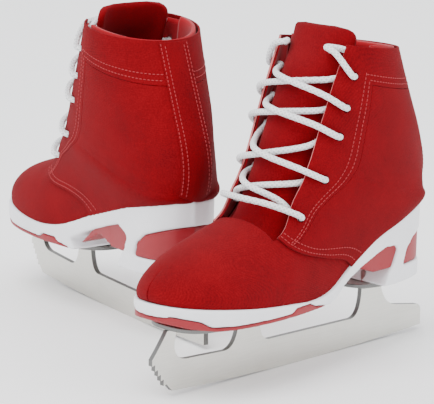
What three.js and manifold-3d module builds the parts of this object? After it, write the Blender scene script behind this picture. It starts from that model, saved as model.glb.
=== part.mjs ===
// A pair of ice figure skates: laced fabric boots on moulded heeled soles, with screwed-on steel blades.
// Each skate is drawn once, as the right one: x runs backwards from the blade's toe, y towards the
// outside of the foot and z up from the ice. The left skate is its mirror. Millimetres throughout.
import * as THREE from "three";
import { mergeGeometries, mergeVertices } from "three/addons/utils/BufferGeometryUtils.js";
import Module from "manifold-3d";

// Blade
const BLADE_LENGTH = 272;
const BLADE_THICKNESS = 4;
const BLADE_HEIGHT = 47; // ice to the underside of the plates
const ROCKER_RADIUS = 2130;
const ROCKER_LOW_POINT = 150; // behind the toe
const TOOTH_COUNT = 5;
const TOOTH_DEPTH = 2.6;
const RAKE = { top: [0, 29], bottom: [13, 9.5], tail: [18, 4] }; // x, z of the toe rake's ends

// Plates and screws
const PLATE_THICKNESS = 3;
const TOE_PLATE = { start: 14, end: 138, widest: 76, halfWidth: 31, endHalfWidth: 15 };
const HEEL_PLATE = { start: 187, end: 250, widest: 222, halfWidth: 22, endHalfWidth: 13 };
const SCREW_RADIUS = 2;
const SCREW_HEAD_RADIUS = 4.2;
const SCREW_HEAD_HEIGHT = 1.6;
const SCREW_LENGTH = 12;
const TOE_SCREWS = [[36, 14], [36, -14], [98, 17], [98, -17]]; // x, y
const HEEL_SCREWS = [[200, 10], [200, -10], [240, 10]];

// Clearances
const GAP = 0.35; // between faces that touch
const LAYER_GAP = 0.5; // between sheets of the upper
const FOOT_LIFT = 0.021; // share of a section by which the upper's lower edge clears the sole
const LINING_LIFT = 0.035; // the same, for the sheets inside it

// Sheets of the upper, as depths from the last's surface: positive is outwards
const VAMP = { inner: -1.6, outer: 0 };
const VAMP_SKIVE = 0.5; // taken off the outside of the vamp where the quarters lap over it
const QUARTER = { inner: VAMP.outer + LAYER_GAP, outer: 1.9 };
const BACK_STAY = { inner: QUARTER.outer + LAYER_GAP, outer: 3.4 };
const PUFF = { inner: -3.1, outer: VAMP.inner - LAYER_GAP };
const COUNTER = { inner: -1.5, outer: QUARTER.inner - LAYER_GAP };
const VAMP_LINING = { inner: -4.8, outer: PUFF.inner - LAYER_GAP };
const QUARTER_LINING = { inner: -6.2, outer: COUNTER.inner - LAYER_GAP - 0.3 };
const EYELET_STRIP = { inner: -0.9, outer: QUARTER.inner - LAYER_GAP };
const TONGUE = { inner: -12.8, outer: -7.6 };

// Sole
const PLATE_BOTTOM = BLADE_HEIGHT + GAP;
const SOLE_BOTTOM = PLATE_BOTTOM + PLATE_THICKNESS + GAP;
const RIM_PROUD = 2.3; // how far the sole stands out round the upper
const HEEL_TAPER = 0.93; // heel outline at its bottom, against its top
const TREAD_THICKNESS = 2.6;
const TAB_RISE = 3; // how far the red layer climbs into the rim at its tabs
const BOARD_THICKNESS = 2.2;
const FOOTBED_THICKNESS = 4;
const BOARD_INSET = 6.9;
const BOARD_LIFT = 0.3; // board's underside above the foot line
const SHELL_DROP = 0.6; // shell's top below the foot line
const CORE_RECESS = 1.2; // red parts stand back from the shell's face

// Lacing
const LACE_DIAMETER = 4.6;
const HOLE_RADIUS = LACE_DIAMETER / 2 + 2.1;
const EYELET_PAIRS = 5;
const EYELET_SETBACK = 0.085; // from the facing's edge, as a share of a section
const LACE_STEPS = 1.3; // steps between two points of its route

// The pair: the right skate stands across the left one, behind its toe
const PAIR_TURN = 102.5; // degrees between their headings
const PAIR_BACK = 174; // right toe behind the left toe
const PAIR_ASIDE = 332; // and to the left skate's inner side

// ---------------------------------------------------------------------------------------------
// The last. Each section runs from the foot line, where the upper meets the sole, or from the
// centre line of the heel, up to the crown, the front centre line. Its pull vectors are Bezier
// handles: how the surface leaves the foot line and how it meets the crown.
//   foot: x | out, in: half widths | zOut, zIn: heights | pull | crown: x, z | reach: sideways pull
const SECTIONS = [
  { foot: -1, out: 0, in: 0, zOut: 70, zIn: 70, pull: [-5, 0, 7], crown: [8, 88], reach: [-6, 0, -3] },
  { foot: 2.5, out: 17, in: 15, zOut: 69.5, zIn: 69.5, pull: [-3, 3, 9], crown: [14, 92.5], reach: [-3, 10, -1] },
  { foot: 14, out: 30, in: 26, zOut: 68, zIn: 68.5, pull: [-1, 3, 12], crown: [25, 97], reach: [0, 18.5, -1] },
  { foot: 33, out: 40, in: 34.5, zOut: 66, zIn: 67, pull: [0, 2, 17], crown: [42, 102.5], reach: [0, 26, -1] },
  { foot: 60, out: 45, in: 39, zOut: 63, zIn: 65, pull: [0, 1, 22], crown: [64, 109], reach: [0, 31, -2] },
  { foot: 90, out: 45, in: 39.5, zOut: 60.5, zIn: 64.5, pull: [0, 1, 27], crown: [81, 114], reach: [0, 35, -2] },
  { foot: 116, out: 41.5, in: 36.5, zOut: 58.5, zIn: 68, pull: [0, 1, 31], crown: [86.5, 118.5], reach: [0, 40, -1] },
  { foot: 138, out: 37, in: 33.5, zOut: 61.5, zIn: 75, pull: [2, 2, 34], crown: [89, 124], reach: [0, 45, 0] },
  { foot: 160, out: 34, in: 32, zOut: 74, zIn: 83, pull: [5, 4, 36], crown: [91.5, 130.5], reach: [0, 49, 0] },
  { foot: 188, out: 32.5, in: 31.5, zOut: 89, zIn: 92, pull: [10, 7, 30], crown: [94, 137], reach: [0, 53, 0] },
  { foot: 215, out: 31.5, in: 31, zOut: 98.5, zIn: 100, pull: [14, 10, 25], crown: [97, 144], reach: [0, 57, 0] },
  { foot: 239, out: 25, in: 25, zOut: 105, zIn: 105, pull: [16, 16, 18], crown: [100, 151], reach: [0, 60, 0] },
  { foot: 251, out: 14, in: 14, zOut: 107.5, zIn: 107.5, pull: [12, 26, 14], crown: [102.5, 156], reach: [0, 62, 0] },
  { foot: 256, out: 0, in: 0, zOut: 109, zIn: 109, pull: [6, 41, 13], crown: [105, 160.5], reach: [0, 64, 0] },
  { foot: 261.5, out: 0, in: 0, zOut: 126, zIn: 126, pull: [0, 42, 7], crown: [111, 172.5], reach: [0, 66, 0] },
  { foot: 258, out: 0, in: 0, zOut: 146, zIn: 146, pull: [0, 43, 3], crown: [119, 188], reach: [0, 66, 0] },
  { foot: 247.5, out: 0, in: 0, zOut: 170, zIn: 170, pull: [0, 43, 0], crown: [128.5, 205], reach: [0, 66, 0] },
  { foot: 236, out: 0, in: 0, zOut: 195, zIn: 195, pull: [0, 43, 0], crown: [138, 219.5], reach: [0, 66, 0] },
  { foot: 224.5, out: 0, in: 0, zOut: 221, zIn: 221, pull: [0, 43, 0], crown: [147, 232], reach: [0, 66, 0] },
  { foot: 218.5, out: 0, in: 0, zOut: 234, zIn: 234, pull: [0, 43, 0], crown: [153, 246], reach: [0, 66, 0] },
];
const HEEL_BACK = 13; // section where the foot line closes at the back of the heel
const COLLAR = 18; // section along the collar's edge
const THROAT = 5.1; // section where the vamp ends over the tongue
const LAST_SECTION = SECTIONS.length - 1;

// The facing's edge: how far round from the crown it stands, from the throat up to the collar.
const FACING_START = 5.3;
const FACING = [0.4, 0.29, 0.235, 0.215, 0.21, 0.22];
// The quarter's front edge, from the sole (0) up to the facing (1): sections.
const QUARTER_FRONT = [8, 7.5, 6.8, 6.0, 5.5, FACING_START];
const VAMP_LAP = 0.7; // sections of vamp under the quarter
const SEAM_SHARE = 0.76; // seam between quarter and eyestay, as a share of the way to the facing

const UP = new THREE.Vector3(0, 0, 1);

const wasm = await Module();
wasm.setup();

// A uniform Catmull-Rom spline through the values, at a real-valued index.
function spline(values, at) {
  const last = values.length - 1;
  const i = Math.min(Math.max(Math.floor(at), 0), last - 1);
  const f = at - i;
  const pick = (k) => values[Math.min(Math.max(k, 0), last)];
  const before = i === 0 ? 2 * pick(0) - pick(1) : pick(i - 1);
  const after = i + 2 > last ? 2 * pick(last) - pick(last - 1) : pick(i + 2);
  const slopeA = (pick(i + 1) - before) / 2;
  const slopeB = (after - pick(i)) / 2;
  const f2 = f * f;
  const f3 = f2 * f;
  return (2 * f3 - 3 * f2 + 1) * pick(i) + (f3 - 2 * f2 + f) * slopeA
    + (3 * f2 - 2 * f3) * pick(i + 1) + (f3 - f2) * slopeB;
}

const column = (read) => SECTIONS.map(read);
const LAST = {
  footX: column((c) => c.foot),
  out: column((c) => c.out),
  in: column((c) => c.in),
  zOut: column((c) => c.zOut),
  zIn: column((c) => c.zIn),
  pull: [0, 1, 2].map((k) => column((c) => c.pull[k])),
  crownX: column((c) => c.crown[0]),
  crownZ: column((c) => c.crown[1]),
  reach: [0, 1, 2].map((k) => column((c) => c.reach[k])),
};

// The foot line: side is 1 on the outside of the foot and -1 on the inside.
function footPoint(s, side) {
  const half = s >= HEEL_BACK ? 0 : Math.max(spline(side > 0 ? LAST.out : LAST.in, s), 0);
  return new THREE.Vector3(spline(LAST.footX, s), side * half, spline(side > 0 ? LAST.zOut : LAST.zIn, s));
}

// A point of the last's surface. around is 0 on the crown, 1 on the outer foot line and -1 on the inner.
function lastPoint(s, around) {
  const side = around < 0 ? -1 : 1;
  const t = 1 - Math.abs(around);
  const foot = footPoint(s, side);
  const crown = new THREE.Vector3(spline(LAST.crownX, s), 0, spline(LAST.crownZ, s));
  const [pull, reach] = [LAST.pull, LAST.reach].map(
    (h) => new THREE.Vector3(spline(h[0], s), side * Math.max(spline(h[1], s), 0), spline(h[2], s)),
  );
  const a = foot.clone().add(pull);
  const b = crown.clone().add(reach);
  const u = 1 - t;
  return foot.multiplyScalar(u * u * u)
    .addScaledVector(a, 3 * u * u * t)
    .addScaledVector(b, 3 * u * t * t)
    .addScaledVector(crown, t * t * t);
}

// The same point moved along the surface's outward normal.
function offsetPoint(s, around, depth) {
  const step = 0.02;
  const s0 = Math.max(s - step, 0);
  const s1 = Math.min(s + step, LAST_SECTION);
  const a0 = Math.max(around - step, -1);
  const a1 = Math.min(around + step, 1);
  const alongS = lastPoint(s1, around).sub(lastPoint(s0, around));
  const alongA = lastPoint(s, a1).sub(lastPoint(s, a0));
  const normal = alongS.cross(alongA).normalize();
  const onCentre = s === 0 || (Math.abs(around) === 1 && s >= HEEL_BACK);
  if (onCentre) normal.setY(0).normalize();
  return lastPoint(s, around).addScaledVector(normal, depth);
}

// ---------------------------------------------------------------------------------------------
// Meshes

function geometryOf(positions) {
  const geometry = new THREE.BufferGeometry();
  geometry.setAttribute("position", new THREE.Float32BufferAttribute(positions, 3));
  return geometry;
}

// Merges shared corners and drops triangles that have no area left.
function welded(geometry) {
  const plain = geometry.index ? geometry.toNonIndexed() : geometry;
  const bare = new THREE.BufferGeometry().setAttribute("position", plain.getAttribute("position"));
  const merged = mergeVertices(bare, 1e-3);
  const index = merged.index.array;
  const kept = [];
  for (let i = 0; i < index.length; i += 3) {
    const [a, b, c] = [index[i], index[i + 1], index[i + 2]];
    if (a !== b && b !== c && c !== a) kept.push(a, b, c);
  }
  merged.setIndex(kept);
  return merged;
}

function solidOf(geometry) {
  const merged = welded(geometry);
  return new wasm.Manifold(new wasm.Mesh({
    numProp: 3,
    vertProperties: merged.attributes.position.array,
    triVerts: new Uint32Array(merged.index.array),
  }));
}

function geometryFrom(solid) {
  const mesh = solid.getMesh();
  const geometry = new THREE.BufferGeometry();
  geometry.setAttribute("position", new THREE.BufferAttribute(mesh.vertProperties, 3));
  geometry.setIndex(new THREE.BufferAttribute(mesh.triVerts, 1));
  return geometry;
}

// A closed sheet over a lattice of rows and columns. outer and inner give its two faces, cell says
// which cells it fills, and open says which border edges join a neighbour and need no wall.
function sheet(rows, columns, outer, inner, cell = () => true, open = () => false) {
  const positions = [];
  const put = (a, b, c) => [a, b, c].forEach((p) => positions.push(p.x, p.y, p.z));
  const quad = (a, b, c, d) => {
    put(a, b, c);
    put(a, c, d);
  };
  const outers = rows.map((r, i) => columns.map((c, j) => outer(r, c, i, j)));
  const inners = rows.map((r, i) => columns.map((c, j) => inner(r, c, i, j)));
  const has = (i, j) => i >= 0 && j >= 0 && i < rows.length - 1 && j < columns.length - 1 && cell(i, j);
  const wall = (i, j, k, l) => {
    if (!open(i, j, k, l)) quad(outers[i][j], inners[i][j], inners[k][l], outers[k][l]);
  };
  for (let i = 0; i < rows.length - 1; i += 1) {
    for (let j = 0; j < columns.length - 1; j += 1) {
      if (!has(i, j)) continue;
      quad(outers[i][j], outers[i][j + 1], outers[i + 1][j + 1], outers[i + 1][j]);
      quad(inners[i][j], inners[i + 1][j], inners[i + 1][j + 1], inners[i][j + 1]);
      if (!has(i - 1, j)) wall(i, j, i, j + 1);
      if (!has(i + 1, j)) wall(i + 1, j + 1, i + 1, j);
      if (!has(i, j - 1)) wall(i + 1, j, i, j);
      if (!has(i, j + 1)) wall(i, j + 1, i + 1, j + 1);
    }
  }
  return geometryOf(positions);
}

const steps = (from, to, count) => Array.from({ length: count + 1 }, (_, i) => from + ((to - from) * i) / count);

// Turns a geometry's faces round when it came out inside out.
function facingOut(geometry) {
  const merged = welded(geometry);
  const p = merged.attributes.position;
  const index = merged.index.array;
  let volume = 0;
  const [a, b, c] = [new THREE.Vector3(), new THREE.Vector3(), new THREE.Vector3()];
  for (let i = 0; i < index.length; i += 3) {
    a.fromBufferAttribute(p, index[i]);
    b.fromBufferAttribute(p, index[i + 1]);
    c.fromBufferAttribute(p, index[i + 2]);
    volume += a.dot(b.cross(c));
  }
  if (volume < 0) {
    const turned = [];
    for (let i = 0; i < index.length; i += 3) turned.push(index[i], index[i + 2], index[i + 1]);
    merged.setIndex(turned);
  }
  return merged;
}

// ---------------------------------------------------------------------------------------------
// The upper's layout on the last

// How far round from the crown the facing's edge stands at a section.
function facingAround(s) {
  const share = THREE.MathUtils.clamp((s - FACING_START) / (COLLAR - FACING_START), 0, 1);
  return spline(FACING, share * (FACING.length - 1));
}

// The rear of the upper has one lattice for all its sheets: share 0 on the foot line and 1 on the
// facing's edge, along 0 at the quarter's front edge and 1 at the collar.
const quarterFront = (share) => spline(QUARTER_FRONT, share * (QUARTER_FRONT.length - 1));
function quarterPlace(along, share, lift = FOOT_LIFT) {
  const s = THREE.MathUtils.lerp(quarterFront(share), COLLAR, along);
  const foot = share === 0 && s < HEEL_BACK - 1e-6 ? 1 - lift : 1;
  return [s, THREE.MathUtils.lerp(foot, facingAround(s), share)];
}
const HEEL_ALONG = (HEEL_BACK - QUARTER_FRONT[0]) / (COLLAR - QUARTER_FRONT[0]);
const BAND_ALONG = 0.88; // where the collar band starts
const QUARTER_ROWS = [...steps(0, HEEL_ALONG, 6), ...steps(HEEL_ALONG, BAND_ALONG, 5).slice(1), 1];
const COLLAR_ROW = QUARTER_ROWS.indexOf(BAND_ALONG);
const QUARTER_COLUMNS = [0, 0.13, 0.27, 0.42, 0.58, SEAM_SHARE, SEAM_SHARE + 0.012, 0.85, 0.925, 1];
const SEAM_COLUMN = QUARTER_COLUMNS.indexOf(SEAM_SHARE);

function quarterSheet(side, rows, columns, layer, cell, open) {
  const point = (depth) => (along, share) => {
    const [s, around] = quarterPlace(along, share);
    return offsetPoint(s, side * around, depth);
  };
  return facingOut(sheet(rows, columns, point(layer.outer), point(layer.inner), cell, open));
}

function quarter(side) {
  return quarterSheet(side, QUARTER_ROWS, QUARTER_COLUMNS, QUARTER, (i, j) => i < COLLAR_ROW && j < SEAM_COLUMN);
}

function eyestay(side) {
  const rows = [...QUARTER_ROWS];
  rows.splice(COLLAR_ROW, 1, BAND_ALONG, BAND_ALONG + 0.006, 0.93);
  const cell = (i, j) => (j > SEAM_COLUMN || i > COLLAR_ROW) && !(i === COLLAR_ROW && j <= SEAM_COLUMN);
  const panel = solidOf(quarterSheet(side, rows, QUARTER_COLUMNS, QUARTER, cell));
  return geometryFrom(eyeletPlaces(side).reduce((solid, e) => solid.subtract(solidOf(punch(e))), panel));
}

// Eyelets, from the collar down: their sections, and how far round they stand.
const EYELET_SECTIONS = [16.7, 15.45, 14.1, 10.3, 7.4];
const eyeletSeat = (side, pair) => [
  EYELET_SECTIONS[pair],
  side * (facingAround(EYELET_SECTIONS[pair]) + EYELET_SETBACK),
];
function eyeletPlaces(side) {
  return EYELET_SECTIONS.map((_, pair) => {
    const [s, around] = eyeletSeat(side, pair);
    const point = offsetPoint(s, around, 0);
    return { point, out: offsetPoint(s, around, 1).sub(point) };
  });
}

function cylinderAlong(point, direction, radius, length, sides = 8) {
  const cylinder = new THREE.CylinderGeometry(radius, radius, length, sides);
  const turn = new THREE.Quaternion().setFromUnitVectors(new THREE.Vector3(0, 1, 0), direction);
  return cylinder.applyQuaternion(turn).translate(point.x, point.y, point.z);
}
const punch = (eyelet) => cylinderAlong(eyelet.point, eyelet.out, HOLE_RADIUS, 16);

function eyeletStrip(side) {
  const columns = [0.79, 0.9, 0.985];
  const rows = [...QUARTER_ROWS.slice(1, -1), 0.985];
  const strip = solidOf(quarterSheet(side, rows, columns, EYELET_STRIP));
  return geometryFrom(eyeletPlaces(side).reduce((solid, e) => solid.subtract(solidOf(punch(e))), strip));
}

// The forefoot has one lattice for all its sheets too. Its rows run from the toe (0) to the quarter's
// front edge (1) and on to the end of the lap (2); its columns from one foot line over the crown (0)
// to the other.
const FOREFOOT_ROWS = steps(0, 1, 8);
const FOREFOOT_COLUMNS = steps(-1, 1, 12);
const FRONT_CLEARANCE = 0.2; // sections between the quarter's front edge and row 1
function forefootPlace(r, c) {
  const around = Math.abs(c);
  const facing = facingAround(FACING_START);
  const above = around <= facing;
  const front = above ? THROAT - 0.5 : quarterFront((1 - around) / (1 - facing)) - FRONT_CLEARANCE;
  const end = above ? THROAT : front + FRONT_CLEARANCE + VAMP_LAP;
  return r <= 1 ? front * r : THREE.MathUtils.lerp(front, end, r - 1);
}
function forefootSheet(rows, layer, lift) {
  const point = (depth, skive) => (r, c) => offsetPoint(
    forefootPlace(r, c), c * (1 - lift), depth - skive * Math.min(Math.max(2 * (r - 1), 0), 1),
  );
  const open = (i, j, k) => i === 0 && k === 0;
  return facingOut(sheet(rows, FOREFOOT_COLUMNS, point(layer.outer, VAMP_SKIVE), point(layer.inner, -VAMP_SKIVE),
    undefined, open));
}

const vamp = () => forefootSheet([...FOREFOOT_ROWS, 1.5, 2], VAMP, FOOT_LIFT);
const toePuff = () => forefootSheet(FOREFOOT_ROWS.slice(0, 5), PUFF, LINING_LIFT);
const vampLining = () => forefootSheet(FOREFOOT_ROWS, VAMP_LINING, LINING_LIFT);

// Both sides of a piece that wraps the heel, joined along the centre line of the heel's back.
function heelWrap(rows, columns, layer, lift) {
  const half = (side) => {
    const point = (depth) => (along, share) => {
      const [s, around] = quarterPlace(along, share, lift);
      return offsetPoint(s, side * around, depth);
    };
    const joined = (i, j, k, l) => columns[j] === 0 && columns[l] === 0
      && rows[i] >= HEEL_ALONG && rows[k] >= HEEL_ALONG;
    const made = sheet(rows, columns, point(layer.outer), point(layer.inner), undefined, joined);
    if (side > 0) return made;
    const p = made.attributes.position.array;
    const turned = [];
    for (let i = 0; i < p.length; i += 9) {
      turned.push(...p.slice(i, i + 3), ...p.slice(i + 6, i + 9), ...p.slice(i + 3, i + 6));
    }
    return geometryOf(turned);
  };
  return facingOut(mergeGeometries([half(1), half(-1)]));
}

const quarterLining = () => heelWrap(
  [...QUARTER_ROWS, 1.012], QUARTER_COLUMNS.slice(0, SEAM_COLUMN + 1), QUARTER_LINING, LINING_LIFT,
);
const heelCounter = () => heelWrap(QUARTER_ROWS.slice(2, 9), QUARTER_COLUMNS.slice(0, 4), COUNTER, FOOT_LIFT);
const backStay = () => heelWrap(
  [HEEL_ALONG + 0.01, ...QUARTER_ROWS.filter((r) => r > HEEL_ALONG && r < 1), 0.993], [0, 0.06, 0.115], BACK_STAY, 0,
);

function tongue() {
  const rows = [4.2, 5.3, 7, 8.5, 10, 11.5, 13, 14.2, 15.5, 17, COLLAR, 18.75];
  const point = (depth) => (s, c) => {
    const round = s > COLLAR ? 0.8 : 1;
    const half = (facingAround(s) + 0.08) * round;
    const fade = s < FACING_START ? 0.75 : 1;
    return offsetPoint(s, c * half * fade, depth);
  };
  return facingOut(sheet(rows, steps(-1, 1, 4), point(TONGUE.outer), point(TONGUE.inner)));
}

// ---------------------------------------------------------------------------------------------
// The sole

// The foot line's outline, moved out by an amount, as points in plan.
function outline(grow, squeeze = 1) {
  const side = (sign) => [...steps(0.3, 11.7, 13), 12.3, 12.7].map((s) => {
    const p = footPoint(s, sign);
    const ahead = footPoint(s + 0.05, sign).sub(footPoint(s - 0.05, sign)).setZ(0).normalize();
    const normal = new THREE.Vector2(-ahead.y, ahead.x).multiplyScalar(sign);
    return new THREE.Vector2(p.x + normal.x * grow, p.y + normal.y * grow);
  });
  const toe = new THREE.Vector2(footPoint(0, 1).x - grow, 0);
  const heel = new THREE.Vector2(footPoint(HEEL_BACK, 1).x + grow, 0);
  const ring = [toe, ...side(1), heel, ...side(-1).reverse()];
  return ring.map((p) => {
    const behind = THREE.MathUtils.smoothstep(p.x, 150, 230);
    const scale = THREE.MathUtils.lerp(1, squeeze, behind);
    return new THREE.Vector2(230 + (p.x - 230) * (p.x > 230 ? scale : 1), p.y * scale);
  });
}

// A closed solid between two rings of the same number of points.
function loft(ringA, ringB, capShape) {
  if (THREE.ShapeUtils.isClockWise(capShape)) {
    return loft([...ringA].reverse(), [...ringB].reverse(), [...capShape].reverse());
  }
  // Corners are nudged off straight lines here, because the triangulation drops those that lie on one.
  const nudged = capShape.map((p, i) => new THREE.Vector2(p.x + 1e-4 * Math.sin(7 * i), p.y + 1e-4 * Math.cos(5 * i)));
  const triangles = THREE.ShapeUtils.triangulateShape(nudged, []);
  const positions = [];
  const put = (...points) => points.forEach((p) => positions.push(p.x, p.y, p.z));
  triangles.forEach(([a, b, c]) => {
    put(ringA[a], ringA[c], ringA[b]);
    put(ringB[a], ringB[b], ringB[c]);
  });
  ringA.forEach((p, i) => {
    const n = (i + 1) % ringA.length;
    put(p, ringA[n], ringB[n]);
    put(p, ringB[n], ringB[i]);
  });
  return solidOf(facingOut(geometryOf(positions)));
}

// The sole's body: the outline from below its bottom to above its top.
function soleBody(grow) {
  const low = outline(grow, HEEL_TAPER);
  const high = outline(grow);
  const at = (ring, z) => ring.map((p) => new THREE.Vector3(p.x, p.y, z));
  return loft(at(low, SOLE_BOTTOM - 8), at(high, 118), high);
}

// A side view drawn for the outside and the inside of the foot, ruled across from one to the other.
const RULE_REACH = 49;
function ruled(outside, inside = outside) {
  const ring = (points, y) => points.map(([x, z]) => new THREE.Vector3(x, y, z));
  const shape = outside.map(([x, z]) => new THREE.Vector2(x, z));
  return loft(ring(outside, RULE_REACH), ring(inside, -RULE_REACH), shape);
}

// Heights of the foot line at a distance behind the toe, carried out to the ruled solid's faces.
function footHeights(x) {
  let [low, high] = [0, HEEL_BACK];
  for (let i = 0; i < 30; i += 1) {
    const middle = (low + high) / 2;
    if (spline(LAST.footX, middle) < x) low = middle;
    else high = middle;
  }
  const outer = footPoint(low, 1);
  const inner = footPoint(low, -1);
  const width = Math.max(outer.y - inner.y, 20);
  const rise = (outer.z - inner.z) / width;
  return {
    outside: outer.z + rise * (RULE_REACH - outer.y),
    inside: inner.z - rise * (RULE_REACH + inner.y),
  };
}

const TOP_STATIONS = [-12, 0, 20, 45, 75, 100, 116, 127, 138, 149, 160, 175, 190, 205, 220, 246, 275];
const footProfile = (face, drop) => TOP_STATIONS.map((x) => [x, footHeights(x)[face] - drop]);

// Below the rim, from the toe back: where the moulded shell ends.
const TREAD_LINE = [[-12, 61], [0, 57], [12, 53.5], [26, 51.3], [40, SOLE_BOTTOM], [134, SOLE_BOTTOM]];
const ARCH_LINE = {
  outside: [[146, 55], [158, 63], [171, 69], [185, 74.5], [200, 79.5]],
  inside: [[128, 60], [144, 67], [161, 73], [180, 79], [200, 84.5]],
};
const STRUT_FRONT = [[209, 80], [212, 76], [209, 68], [203, 60], [197, SOLE_BOTTOM]];
const INSERT = [[219, 63], [223, 74], [232, 81.5], [250, 87.5], [280, 95], [280, 63]];
const HEEL_BREAST = [[170, 67.5], [194, SOLE_BOTTOM]];
const TABS = [[-2, 22], [90, 116]];

// The line between the rim and the tread: the tread's top, with its tabs.
function treadTop(shift) {
  const points = TREAD_LINE.slice(0, -1).map(([x, z]) => [x, z + TREAD_THICKNESS + shift]);
  const level = (x) => {
    const i = Math.max(TREAD_LINE.findIndex(([px]) => px > x), 1);
    const [[x0, z0], [x1, z1]] = [TREAD_LINE[i - 1], TREAD_LINE[i]];
    return z0 + ((z1 - z0) * (x - x0)) / (x1 - x0) + TREAD_THICKNESS + shift;
  };
  TABS.forEach(([from, to]) => {
    points.push([from, level(from)], [from + 5, level(from + 5) + TAB_RISE]);
    points.push([to - 7, level(to - 7) + TAB_RISE], [to, level(to)]);
  });
  const inTab = ([x, z]) => TABS.some(([from, to]) => x > from && x < to && z < level(x) + 1);
  return points.filter((p) => !inTab(p)).sort((a, b) => a[0] - b[0]);
}

function shellSide(face, dx = 0, dz = 0) {
  const points = [
    ...treadTop(GAP),
    [134, SOLE_BOTTOM],
    ...ARCH_LINE[face],
    ...STRUT_FRONT,
    [280, SOLE_BOTTOM],
    ...footProfile(face, SHELL_DROP).reverse(),
  ];
  return points.map(([x, z]) => [x + dx, z + dz]);
}

function screwHoles(solid) {
  return [...TOE_SCREWS, ...HEEL_SCREWS].reduce((cut, [x, y]) => {
    const middle = new THREE.Vector3(x, y, PLATE_BOTTOM + SCREW_LENGTH / 2 - GAP);
    return cut.subtract(solidOf(cylinderAlong(middle, UP, SCREW_RADIUS + GAP, SCREW_LENGTH + 4 * GAP, 8)));
  }, solid);
}

function outsoleShell() {
  const sides = ruled(shellSide("outside"), shellSide("inside"));
  return geometryFrom(screwHoles(soleBody(RIM_PROUD).intersect(sides).subtract(ruled(INSERT))));
}

function forefootTread() {
  const side = [...treadTop(0), [132, SOLE_BOTTOM], ...TREAD_LINE.slice(0, -1).reverse()];
  return geometryFrom(screwHoles(soleBody(RIM_PROUD - 0.6).intersect(ruled(side))));
}

// The red core under the arch and in front of the heel. It stops short of the shell all round.
function archCore() {
  const outside = [[136, 60], [150, 63], [168, 70.5], ...HEEL_BREAST, [202, SOLE_BOTTOM], [216, 80], [180, 81]];
  const inside = [[136, 54], [150, 60], [168, 69], ...HEEL_BREAST, [202, SOLE_BOTTOM], [216, 80], [180, 86]];
  const block = soleBody(RIM_PROUD - CORE_RECESS).intersect(ruled(outside, inside));
  const shell = ruled(shellSide("outside", -GAP, -GAP), shellSide("inside", -GAP, -GAP));
  return geometryFrom(screwHoles(block.subtract(ruled(shellSide("outside"), shellSide("inside"))).subtract(shell)));
}

// Moves a polygon's edges inwards.
function inset(points, amount) {
  const area = points.reduce((sum, [x, z], i) => {
    const [nx, nz] = points[(i + 1) % points.length];
    return sum + x * nz - nx * z;
  }, 0);
  const turn = Math.sign(area);
  return points.map(([x, z], i) => {
    const at = new THREE.Vector2(x, z);
    const [before, after] = [points.at(i - 1), points[(i + 1) % points.length]];
    const a = at.clone().sub(new THREE.Vector2(...before)).normalize();
    const b = new THREE.Vector2(...after).sub(at).normalize();
    const normal = new THREE.Vector2(-(a.y + b.y), a.x + b.x).multiplyScalar(turn);
    normal.multiplyScalar(amount / Math.max(normal.lengthSq() / 2, 0.2));
    return [x + normal.x, z + normal.y];
  });
}

function heelInsert() {
  return geometryFrom(soleBody(RIM_PROUD - CORE_RECESS).intersect(ruled(inset(INSERT, GAP))));
}

// A board that lies inside the foot line, at a height above it.
function footBoard(bottom, thickness, setIn) {
  const middle = (SECTIONS[0].foot + SECTIONS[HEEL_BACK].foot) / 2;
  const half = (SECTIONS[HEEL_BACK].foot - SECTIONS[0].foot) / 2;
  const point = (rise) => (s, r) => {
    const [outer, inner] = [footPoint(s, 1), footPoint(s, -1)];
    const y = r * ((r > 0 ? outer.y : -inner.y) - setIn);
    const share = (y - inner.y) / (outer.y - inner.y);
    return new THREE.Vector3(
      middle + ((outer.x - middle) * (half - setIn)) / half, y, THREE.MathUtils.lerp(inner.z, outer.z, share) + rise,
    );
  };
  const rows = [1.1, 1.5, ...steps(2, 12, 10), 12.3];
  return facingOut(sheet(rows, [-1, 0, 1], point(bottom + thickness), point(bottom)));
}

// ---------------------------------------------------------------------------------------------
// Blade, plates and screws

const rockerHeight = (x) => (x - ROCKER_LOW_POINT) ** 2 / (2 * ROCKER_RADIUS);

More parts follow.
